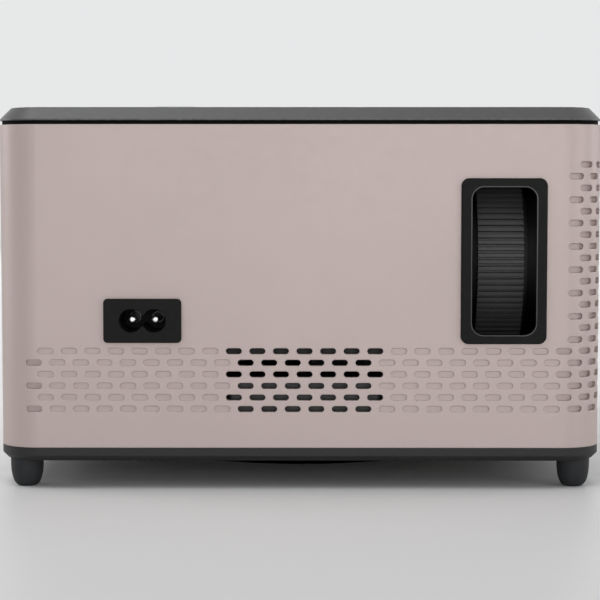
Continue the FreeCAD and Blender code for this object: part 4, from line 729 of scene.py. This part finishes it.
def ring_surface(middle: Sequence[float], radius: float, section: float, axis: int,
                 turns: int = 40, around: int = 12) -> np.ndarray:
    """Ring of round section: a small circle carried round a large one.

    Args:
        middle: Centre of the ring.
        radius: Radius of the large circle.
        section: Radius of the small circle.
        axis: Number of the axis that the ring turns about.
        turns: Points round the large circle.
        around: Points round the small circle.

    Returns:
        Grid of points, turns by around by 3.
    """
    large = circle(turns)[:, None]
    small = circle(around)[None, :]
    reach = radius + section * np.cos(small)
    parts = [reach * np.cos(large), reach * np.sin(large)]
    parts.insert(axis, section * np.sin(small) + 0.0 * large)
    return np.stack(parts, axis=-1) + np.asarray(middle)


def raised_outline(name: str, outlines: Sequence[np.ndarray], base: float, height: float,
                   chamfer: float) -> bpy.types.Mesh:
    """Low upright prisms with a chamfered top edge.

    Each outline is repeated at the base, under the chamfer, and once more at the top,
    moved inwards along the mean of its neighbouring edge normals.

    Args:
        name: Name of the mesh.
        outlines: Arrays of x and y, anticlockwise.
        base: Z of the foot.
        height: Height of the prisms.
        chamfer: Size of the chamfer.

    Returns:
        One mesh of all the prisms.
    """
    points, faces, start = [], [], 0
    for outline in outlines:
        count = len(outline)
        ahead = np.roll(outline, -1, axis=0) - outline
        ahead = ahead / np.linalg.norm(ahead, axis=1, keepdims=True)
        normal = np.stack([ahead[:, 1], -ahead[:, 0]], axis=1)
        inward = -(normal + np.roll(normal, 1, axis=0))
        inward = inward / np.maximum(np.sum(inward * inward, axis=1, keepdims=True) / 2, 0.5)
        rings = ((outline, base), (outline, base + height - chamfer),
                 (outline + chamfer * inward, base + height))
        points += [np.c_[ring, np.full(count, level)] for ring, level in rings]
        here = start + np.arange(count)
        faces += (start + grid_quads(len(rings), count, False, True)).tolist()
        faces += [(here + 2 * count).tolist(), here[::-1].tolist()]
        start += len(rings) * count
    return new_mesh(name, np.vstack(points), faces, 0)


def stroke(start: Sequence[float], end: Sequence[float], width: float) -> np.ndarray:
    """Straight bar with square ends.

    Args:
        start: First end of its middle line.
        end: Other end.
        width: Width across.

    Returns:
        Outline of four points, anticlockwise.
    """
    start, end = np.asarray(start, float), np.asarray(end, float)
    along = (end - start) / np.linalg.norm(end - start)
    aside = np.array([-along[1], along[0]]) * width / 2
    return np.array([start - aside, end - aside, end + aside, start + aside])


def arc_band(radius: float, width: float, first: float, last: float, count: int = 28) -> np.ndarray:
    """Part of a flat ring: the outer arc, then the inner arc back.

    Args:
        radius: Middle radius.
        width: Width of the band.
        first: Start angle in radians.
        last: End angle in radians.
        count: Points on each arc.

    Returns:
        Outline, anticlockwise.
    """
    angle = np.linspace(first, last, count)
    outer = np.stack([np.cos(angle), np.sin(angle)], axis=1)
    return np.vstack([(radius + width / 2) * outer, (radius - width / 2) * outer[::-1]])


class Mark(Enum):
    """Neutral marks on the key caps."""

    ENTER = "enter"
    UP = "up"
    DOWN = "down"
    LEFT = "left"
    RIGHT = "right"
    POWER = "power"
    EJECT = "eject"

    def outlines(self, size: float) -> list[np.ndarray]:
        """Outlines of the mark about the origin.

        Args:
            size: Half the height of the mark.

        Returns:
            Arrays of x and y, in metres.
        """
        line = 0.22 * size
        turns = {Mark.UP: 0, Mark.LEFT: 1, Mark.DOWN: 2, Mark.RIGHT: 3}
        if self in turns:
            arrow = np.array([(-0.8, -0.5), (0.8, -0.5), (0.0, 0.75)]) * size
            turn = turns[self] * math.pi / 2
            spin = np.array([[math.cos(turn), math.sin(turn)], [-math.sin(turn), math.cos(turn)]])
            return [arrow @ spin]
        if self is Mark.POWER:
            gap = math.radians(35)
            ring = arc_band(0.75 * size, line, math.pi / 2 + gap, math.pi * 5 / 2 - gap)
            return [ring, stroke((0, 0.2 * size), (0, 1.05 * size), line)]
        if self is Mark.EJECT:
            roof = np.array([(-0.85, -0.15), (0.85, -0.15), (0.0, 0.8)]) * size
            bar = stroke((-0.85 * size, -0.6 * size), (0.85 * size, -0.6 * size), 1.4 * line)
            return [roof, bar]
        angle = circle(24)
        return [0.42 * size * np.stack([np.cos(angle), np.sin(angle)], axis=1)]


# ---- sub-assemblies
@dataclass
class Casing:
    """Sheet-metal sheath, lid, base, feet and screws."""

    paint: Colour = (0.478, 0.391, 0.373)
    paint_shade: Colour = (0.463, 0.379, 0.36)
    lid_tone: float = 0.067
    base_tone: float = 0.012
    groove_height: float = 1.2 * MM
    groove_margin: float = 0.05 * MM
    strip_rise: float = 0.3 * MM
    strip_margin: float = 0.03 * MM
    corner_radius: float = 12.0 * MM
    shade_ring_inset: float = 0.7 * MM
    shade_ring_width: float = 1.2 * MM
    foot_places: tuple[float, float] = (80.9 * MM, 91.7 * MM)
    foot_height: float = 8.3 * MM
    foot_top_radius: float = 4.85 * MM
    foot_flat_radius: float = 1.8 * MM
    foot_fullness: float = 2.6

    def feet(self) -> bpy.types.Mesh:
        """Four full-bodied feet.

        With t from 0 to a right angle and n twice the fullness's inverse, the radius goes
        from the flat's to the top's with sin t to the power n, and the height from the
        floor to the top with 1 less cos t to the power n.

        Returns:
            The mesh of the feet.
        """
        turn = np.linspace(0.0, math.pi / 2, 20)
        power = 2.0 / self.foot_fullness
        spread = self.foot_top_radius - self.foot_flat_radius
        radius = self.foot_flat_radius + spread * np.sin(turn) ** power
        height = self.foot_height * (1.0 - np.maximum(np.cos(turn), 0.0) ** power)
        middles = np.array([(x, y) for x in (-1, 1) for y in (-1, 1)]) * self.foot_places
        return turned_group("full_feet", radius, height, middles)

    def groove_shade_ring(self) -> bpy.types.Mesh:
        """Near-black ring of rectangular section that lies in the groove under the lid, a dark
        filler that stands for the shadow in the groove (painted shade).

        A point is the rounded loop at the section corner's distance from the sheath's
        outline, raised to that corner's height.

        Returns:
            The mesh of the ring.
        """
        low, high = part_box("sheath")
        width, depth = high.x - low.x, high.y - low.y
        rows = []
        for inset, level in ((0.0, 0.0), (0.0, 1.0), (1.0, 1.0), (1.0, 0.0)):
            margin = self.shade_ring_inset + inset * self.shade_ring_width
            loop = rounded_loop(width - 2 * margin, depth - 2 * margin,
                                self.corner_radius - margin)[:, :2]
            rows.append(np.c_[loop, np.full(len(loop), high.z + level * self.groove_height)])
        return woven_mesh("lid_groove_shade", np.stack(rows), True, True, sharp=40)

    def dress(self) -> bpy.types.Material:
        """Dress the casing.

        Returns:
            The paint, which the tray front shares.
        """
        # The sheath's light edge tone is partly wear, partly a painted highlight along its edges.
        paint = dress(Finish(
            "satin_rose_paint", self.paint, self.paint_shade, rough=0.44, rough_swing=0.05,
            metallic=0.25, mottle=22.0, grain=3200.0, relief=5e-6, edge=0.35e-3,
            wear_and_highlight_tone=(0.78, 0.73, 0.7), wear_and_highlight=0.6, dust=0.08, hairlines=0.05), "sheath")
        lid = self.lid_tone
        lid_top, sheath_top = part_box("top_lid")[1].z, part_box("sheath")[1].z
        # Painted shade: below the groove's top the lid is black and mirror-dark, standing for the
        # shadow in the groove. Its light edge tone is a painted highlight on the lid's lower edge,
        # with some wear.
        dress(Layered(
            "dark_lid_moulding", (lid, lid, lid * 1.03), grey(lid * 0.92), rough=0.34,
            rough_swing=0.03, mottle=14.0, grain=2600.0, relief=1.5e-6, edge=0.3e-3, wear_and_highlight_tone=grey(0.5),
            wear_and_highlight=0.9, dust=0.05, hairlines=0.05,
            painted_shade_top=sheath_top + self.groove_height - self.groove_margin,
            rib_foot=lid_top - self.strip_rise + self.strip_margin), "top_lid")
        base = self.base_tone
        dress(Finish(
            "spark_grained_base", (base, base, base * 1.04), grey(base * 0.8), specular=0.35,
            relief=2e-5, edge=0.35e-3, wear_and_highlight_tone=grey(0.08), wear_and_highlight=0.4, dust=0.08), "base_plate")
        rubber = dress(Finish(
            "foot_rubber", (0.018, 0.019, 0.021), (0.013, 0.013, 0.015), rough=0.66, specular=0.3,
            grain=1800.0, relief=1.2e-5, edge=0.3e-3, wear_and_highlight_tone=grey(0.07), wear_and_highlight=0.5, dust=0.06),
            "rubber_feet")
        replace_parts(settle(self.feet(), "case", rubber), "rubber_feet")
        # Painted shade: a near-black, barely reflecting ring fills the groove so that it reads as
        # shadow from every side.
        groove_shade_finish = Finish("groove_shade_black", grey(0.004), grey(0.003), rough=0.7, specular=0.06,
                       grain=2000.0, edge=0.25e-3, dust=0.0)
        settle(self.groove_shade_ring(), "case", groove_shade_finish.build())
        dress(Drawn(
            "plated_screws", (0.56, 0.55, 0.53), (0.4, 0.39, 0.37), rough=0.34, grain=2600.0,
            relief=6e-6, edge=0.12e-3), "case_screws")
        dress(Drawn(
            "turned_brass", (0.72, 0.5, 0.2), (0.55, 0.36, 0.13), rough=0.3, grain=3000.0,
            relief=6e-6, edge=0.12e-3), "tripod_insert")
        return paint


@dataclass
class Keypad:
    """Key caps on the lid, each with its own raised mark."""

    mark_size: float = 2.3 * MM
    mark_height: float = 0.12 * MM
    mark_chamfer: float = 0.03 * MM
    sink: float = 0.02 * MM
    marks: dict[str, Mark] = field(default_factory=lambda: {
        "key_ok": Mark.ENTER, "key_up": Mark.UP, "key_down": Mark.DOWN, "key_left": Mark.LEFT,
        "key_right": Mark.RIGHT, "key_power": Mark.POWER, "key_eject": Mark.EJECT})

    def build(self) -> None:
        """Dress the caps and set a mark on each, riding with its key."""
        dress(Finish(
            "key_caps", (0.045, 0.045, 0.047), (0.035, 0.035, 0.037), rough=0.34, coat=0.2,
            grain=2600.0, relief=4e-6, edge=0.35e-3, wear_and_highlight_tone=grey(0.25), wear_and_highlight=0.35, dust=0.12),
            *self.marks)
        print_white = Finish("mark_white", (0.62, 0.62, 0.6), (0.5, 0.5, 0.48), grain=4000.0,
                             relief=3e-6, edge=0.04e-3).build()
        for key, mark in self.marks.items():
            low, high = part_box(key)
            middle = np.array([(low.x + high.x) / 2, (low.y + high.y) / 2])
            outlines = [outline + middle for outline in mark.outlines(self.mark_size)]
            mesh = raised_outline(f"mark_{mark.value}", outlines, high.z - self.sink,
                                  self.mark_height, self.mark_chamfer)
            settle(mesh, key, print_white)


@dataclass
class Trim:
    """Mains inlet, wheel bezel, lens ring, rear panel, ports and infrared window."""

    cavity_depth: float = 15.6 * MM
    pin_offset: float = 3.4 * MM
    collar_radius: float = 1.55 * MM
    collar_section: float = 0.2 * MM
    opening_width: float = 19.0 * MM
    opening_height: float = 43.2 * MM
    opening_radius: float = 3.6 * MM
    rim_section: float = 0.22 * MM

    def build(self) -> None:
        """Dress the trim and add the collars of the pins and the rim of the wheel window, whose
        lighter tone is a painted highlight.
        """
        dress(Finish(
            "black_trim_moulding", (0.0065, 0.0078, 0.0065), (0.0047, 0.0056, 0.0047), rough=0.6,
            specular=0.15, grain=2600.0, wear_and_highlight_tone=grey(0.015), wear_and_highlight=0.4, dust=0.01), "wheel_bezel",
            "mains_inlet", "rear_panel", "lens_trim")
        # Painted highlight: the rim's glossy finish is lighter than the trim, to show the light
        # line on the window's edge.
        highlight_lip = Finish("lip_painted_highlight", (0.035, 0.036, 0.035), grey(0.02), rough=0.2, grain=2600.0,
                     relief=2e-6, edge=0.1e-3, dust=0.0).build()
        dress(Drawn(
            "plated_pins", (0.72, 0.71, 0.69), (0.6, 0.59, 0.57), rough=0.3, grain=3500.0,
            relief=2e-6, edge=0.3e-3), "inlet_pins")
        collar = Drawn("pin_collars", grey(0.24), grey(0.16), rough=0.32, grain=3500.0, relief=2e-6,
                       edge=0.1e-3).build()
        dress(Drawn(
            "port_shells", (0.68, 0.68, 0.67), (0.52, 0.52, 0.51), rough=0.24, grain=2600.0,
            relief=4e-6, edge=0.1e-3), "metal_ports")
        dress(Finish(
            "jack_moulding", (0.016, 0.016, 0.018), (0.012, 0.012, 0.013), rough=0.42, grain=3000.0,
            relief=8e-6, edge=0.15e-3, wear_and_highlight=0.4, dust=0.0), "jack_sockets")
        dress(Finish(
            "smoked_window", (0.02, 0.004, 0.006), (0.012, 0.003, 0.004), rough=0.1,
            rough_swing=0.04, specular=0.3, grain=900.0, relief=1e-6, dust=0.0), "ir_window")
        low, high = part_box("mains_inlet")
        x, z = (low.x + high.x) / 2, (low.z + high.z) / 2
        for side, offset in (("left", -self.pin_offset), ("right", self.pin_offset)):
            ring = ring_surface((x + offset, low.y + self.cavity_depth, z), self.collar_radius,
                                self.collar_section, 1)
            settle(woven_mesh(f"pin_collar_{side}", ring, True, True), "case", collar)
        settle(self.window_rim(), "case", highlight_lip)

    def window_rim(self) -> bpy.types.Mesh:
        """Thin rounded lip on the edge of the wheel's window; its finish, lighter than the trim, is
        a painted highlight.

        A circle of the rim's section is carried round a rounded rectangle: each point is the
        path's point, plus the circle's cosine along the outward normal and its sine along Y.

        Returns:
            The mesh of the lip.
        """
        low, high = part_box("wheel_bezel")
        path = rounded_loop(self.opening_width, self.opening_height, self.opening_radius, 10)
        turn = circle(12)[None, :]
        out = self.rim_section * np.cos(turn)
        x = path[:, 0:1] + path[:, 2:3] * out + (low.x + high.x) / 2
        z = path[:, 1:2] + path[:, 3:4] * out + (low.z + high.z) / 2
        y = low.y + self.rim_section * 0.6 * np.sin(turn) + 0.0 * x
        return woven_mesh("window_rim", np.stack([x, y, z], axis=-1), True, True)


@dataclass
class Optics:
    """Focus wheel, lens, light engine and its cooling."""

    shaded_wheel_end: float = 3.4 * MM

    def build(self) -> None:
        """Dress the optics."""
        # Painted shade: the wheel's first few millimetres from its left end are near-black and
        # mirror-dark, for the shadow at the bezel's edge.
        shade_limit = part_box("focus_ring")[0].x + self.shaded_wheel_end
        dress(Layered(
            "ribbed_grip", (0.034, 0.034, 0.035), (0.028, 0.028, 0.029), specular=0.4, grain=2600.0,
            relief=6e-6, edge=0.1e-3, wear_and_highlight_tone=grey(0.08), wear_and_highlight=0.3, dust=0.03, axis="X",
            painted_shade_top=shade_limit, painted_shade=grey(0.008)), "focus_ring")
        dress(Finish(
            "black_optical_moulding", grey(0.01), grey(0.007), rough=0.6, grain=2800.0,
            relief=1.6e-5, wear_and_highlight_tone=grey(0.08), wear_and_highlight=0.5, dust=0.08), "lens_barrel", "lens_cell")
        dress(Clear(
            "coated_lens_glass", (0.93, 0.95, 0.98), rough=0.01, ior=1.58, coat=1.0),
            "lens_elements", "condenser_lens")
        dress(Clear(
            "ridged_clear_sheet", (0.9, 0.93, 0.93), rough=0.08, ior=1.49, rings=900.0,
            ring_axis=(0.004, 0.0, -0.067)), "optic_plates")
        dress(Clear("liquid_crystal_panel", (0.16, 0.17, 0.21), rough=0.12, ior=1.52), "lcd_panel")
        dress(Finish(
            "front_silvered_glass", (0.86, 0.87, 0.88), (0.8, 0.81, 0.82), rough=0.05,
            rough_swing=0.03, metallic=1.0, grain=700.0, relief=5e-7, dust=0.05), "fold_mirror")
        dress(Finish(
            "heat_proof_moulding", (0.014, 0.014, 0.016), (0.01, 0.01, 0.011), rough=0.55,
            grain=2200.0, relief=2.5e-5, edge=0.3e-3, wear_and_highlight=0.4, dust=0.2), "engine_housing",
            "engine_cover", "air_ducts")
        dress(Finish(
            "lamp_board_lacquer", (0.8, 0.76, 0.55), (0.7, 0.66, 0.45), rough=0.35, grain=1800.0,
            relief=8e-6, edge=0.15e-3, dust=0.05), "led_module")
        dress(Drawn(
            "extruded_aluminium", (0.7, 0.71, 0.72), (0.58, 0.59, 0.6), rough=0.3, grain=2200.0,
            edge=0.12e-3, dust=0.08), "heat_sink")
        dress(Finish(
            "fan_moulding", (0.012, 0.012, 0.013), (0.008, 0.008, 0.009), rough=0.4, coat=0.1,
            relief=8e-6, wear_and_highlight=0.4, dust=0.2), "fan_frame", "fan_rotor", "blower_housing",
            "blower_impeller")


@dataclass
class DiscLoader:
    """Chassis, tray, door, gears, traverse deck and clamp."""

    def build(self, paint: bpy.types.Material) -> None:
        """Dress the loader.

        Args:
            paint: Finish of the sheath, which the tray's front shares.
        """
        put_on(paint, "tray_door")
        dress(Finish(
            "structural_moulding", (0.03, 0.03, 0.032), (0.022, 0.022, 0.024), rough=0.6,
            grain=2000.0, relief=2.5e-5, edge=0.3e-3, wear_and_highlight_tone=grey(0.12), wear_and_highlight=0.4, dust=0.15),
            "mid_frame", "loader_chassis")
        dress(Finish(
            "tray_moulding", (0.034, 0.034, 0.036), (0.026, 0.026, 0.028), rough=0.48, grain=2600.0,
            relief=1.8e-5, edge=0.3e-3, wear_and_highlight_tone=grey(0.2), wear_and_highlight=0.5, dust=0.08, hairlines=0.15),
            "disc_tray")
        dress(Finish(
            "natural_acetal", (0.72, 0.7, 0.62), (0.62, 0.6, 0.52), rough=0.4, relief=6e-6,
            edge=0.12e-3, wear_and_highlight_tone=(0.85, 0.84, 0.8), wear_and_highlight=0.3, dust=0.05), "tray_gear", "motor_pulley",
            "sled_gear", "cam_slider", "turntable")
        dress(Drawn(
            "plated_cans", (0.6, 0.6, 0.59), (0.45, 0.45, 0.44), rough=0.28, relief=8e-6,
            edge=0.15e-3, dust=0.05), "loading_motor", "traverse_motors", "guide_rods")
        dress(Finish(
            "belt_rubber", grey(0.01), grey(0.007), rough=0.65, grain=3000.0, edge=0.1e-3,
            wear_and_highlight_tone=grey(0.07), wear_and_highlight=0.5, dust=0.0), "drive_belt")
        dress(Finish(
            "deck_moulding", (0.02, 0.02, 0.021), (0.015, 0.015, 0.016), rough=0.55, grain=2300.0,
            relief=2e-5, wear_and_highlight=0.4), "traverse_deck", "optical_pickup")
        dress(Drawn(
            "pressed_steel", (0.62, 0.62, 0.6), (0.57, 0.57, 0.55), rough=0.36, grain=2000.0,
            edge=0.15e-3, dust=0.08), "clamp_bridge")
        dress(Finish(
            "puck_moulding", (0.75, 0.74, 0.7), (0.66, 0.65, 0.6), rough=0.42, relief=8e-6),
            "clamp_puck")


@dataclass
class Electronics:
    """Circuit boards and speakers."""

    board_skin: float = 1.6 * MM
    skin_margin: float = 0.05 * MM

    def build(self) -> None:
        """Dress the boards and the speakers."""
        green = (0.012, 0.075, 0.035), (0.1, 0.1, 0.11), (0.03, 0.15, 0.07)
        tan = (0.25, 0.16, 0.07), (0.3, 0.27, 0.1), (0.42, 0.28, 0.13)
        for name, node, (lacquer, shade, trace) in (("main_board_lacquer", "main_board", green),
                                                    ("key_board_lacquer", "keypad_board", green),
                                                    ("mains_board_paper", "power_board", tan)):
            skin_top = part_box(node)[0].z + self.board_skin + self.skin_margin
            dress(Board(
                name, lacquer, shade, rough=0.4, edge=0.1e-3, skin_top=skin_top, trace=trace), node)
        dress(Drawn(
            "plated_basket", grey(0.3), grey(0.2), rough=0.4, grain=2200.0, relief=8e-6, dust=0.1),
            "speaker_frames")
        dress(Fibrous(
            "pressed_cone", (0.02, 0.02, 0.021), (0.014, 0.014, 0.015), rough=0.85, grain=1400.0,
            relief=4e-5, dust=0.2), "speaker_cones")


# ---- studio
@dataclass(frozen=True)
class Lamp:
    """Soft rectangular lamp that points at the object."""

    name: str
    place: Colour
    size: tuple[float, float]
    power: float

    def hang(self, target: Sequence[float]) -> None:
        """Make the lamp.

        Args:
            target: Point that the lamp faces.
        """
        light = bpy.data.lights.new(self.name, "AREA")
        light.shape = "RECTANGLE"
        light.size, light.size_y = self.size
        light.energy = self.power
        lamp = link(light)
        lamp.location = self.place
        sight = Vector(target) - Vector(self.place)
        lamp.rotation_euler = sight.to_track_quat("-Z", "Y").to_euler()


def seen_directly(graph: Graph) -> bpy.types.NodeSocket:
    """Mask of the rays that look at the background: straight, mirrored or through glass.

    Args:
        graph: Graph of a world or a material.

    Returns:
        Socket that is 1 for those rays and 0 for the light that falls on the object.
    """
    path = graph.add("LightPath").outputs
    seen = graph.maths("MAXIMUM", path["Is Camera Ray"], path["Is Glossy Ray"])
    return graph.maths("MAXIMUM", seen, path["Is Transmission Ray"])


@dataclass(frozen=True)
class PaleFloor(Finish):
    """Studio floor that fades into the surroundings with its distance from the middle."""

    sky: Colour = grey(0.8)
    fade_start: float = 0.7
    fade_end: float = 2.6

    def build(self) -> bpy.types.Material:
        """Make the material.

        Returns:
            Material whose far part takes the colour of the surroundings.
        """
        material = super().build()
        graph = Graph(material.node_tree)
        ending = next(node for node in graph.tree.nodes if node.type == "OUTPUT_MATERIAL")
        near = ending.inputs["Surface"].links[0].from_socket
        reach = graph.add("VectorMath", {0: graph.places()}, operation="LENGTH").outputs["Value"]
        share = graph.maths("MULTIPLY", seen_directly(graph),
                            graph.spread(reach, self.fade_start, self.fade_end))
        far = graph.add("Emission", {"Color": (*self.sky, 1.0)})
        mixed = graph.add("MixShader", {0: share, 1: near, 2: far.outputs[0]})
        graph.tree.links.new(mixed.outputs[0], ending.inputs["Surface"])
        return material


@dataclass
class Studio:
    """Pale floor, soft lamps, pale surroundings and the camera."""

    floor_radius: float = 9.0
    floor_rings: int = 14
    floor_spokes: int = 64
    floor_tone: float = 0.74
    sky_tone: Colour = (0.80, 0.805, 0.81)
    sky_strength: float = 0.42
    eye: Colour = (2.64 * MM, -620.0 * MM, 91.0 * MM)
    pitch: float = 3.9
    yaw: float = 0.281
    frame_pixels: float = 600.0
    focal_pixels: float = 1795.0
    film: float = 36.0
    aim_point: Colour = (0.0, 0.0, 60.0 * MM)
    lamps: Sequence[Lamp] = (
        Lamp("key_softbox", (0.1, -1.5, 0.13), (1.0, 0.6), 5.7),
        Lamp("fill_softbox", (1.2, -0.9, 0.35), (0.8, 0.7), 3.5),
        Lamp("overhead_softbox", (-0.45, -0.4, 1.4), (1.1, 1.1), 8.0),
        Lamp("right_softbox", (1.6, 0.4, 0.5), (0.8, 0.7), 5.0),
        Lamp("left_softbox", (-1.6, 0.4, 0.5), (0.8, 0.7), 6.0),
        Lamp("far_softbox", (0.0, 1.6, 0.6), (1.0, 0.7), 8.0))

    def floor(self) -> None:
        """Round floor: rings whose radius grows with the square of their number."""
        ring = np.linspace(0.0, 1.0, self.floor_rings)[1:, None] ** 2 * self.floor_radius
        spoke = circle(self.floor_spokes)[None, :]
        points = np.stack([ring * np.cos(spoke), ring * np.sin(spoke), 0.0 * ring * spoke], axis=-1)
        mesh = woven_mesh("studio_floor", points, False, True, [range(self.floor_spokes)])
        finish = PaleFloor("pale_floor", grey(self.floor_tone), grey(0.99 * self.floor_tone),
                           rough=0.62, mottle=3.0, grain=700.0, edge=0.25e-3, dust=0.0,
                           sky=self.sky_tone)
        mesh.materials.append(finish.build())
        piece = link(mesh)

    def surroundings(self) -> None:
        """Pale world: dimmer as a light than it looks to the camera and in reflections."""
        bpy.context.scene.world = bpy.data.worlds.new("pale_surroundings")
        graph = emptied(bpy.context.scene.world)
        extra = graph.maths("MULTIPLY", seen_directly(graph), 1.0 - self.sky_strength)
        strength = graph.maths("ADD", extra, self.sky_strength)
        sky = graph.add("Background", {"Color": (*self.sky_tone, 1.0), "Strength": strength})
        graph.add("OutputWorld", {"Surface": sky.outputs[0]})

    def camera(self) -> None:
        """Camera at the height of the casing's upper half, looking slightly down."""
        lens = bpy.data.cameras.new("view_camera")
        lens.sensor_width = self.film
        lens.lens = self.film * self.focal_pixels / self.frame_pixels
        lens.clip_start, lens.clip_end = 0.01, 40.0
        view = link(lens)
        view.location = self.eye
        view.rotation_euler = (math.radians(90.0 - self.pitch), 0.0, math.radians(self.yaw))
        bpy.context.scene.camera = view

    def build(self) -> None:
        """Set up the studio."""
        self.floor()
        self.surroundings()
        self.camera()
        for lamp in self.lamps:
            lamp.hang(self.aim_point)
        bpy.context.scene.view_settings.view_transform = "Standard"


def main() -> None:
    """Set up the studio, dress every sub-assembly and add the new surfaces."""
    Studio().build()
    paint = Casing().dress()
    Keypad().build()
    Trim().build()
    Optics().build()
    DiscLoader().build(paint)
    Electronics().build()


if __name__ == "__main__":
    main()
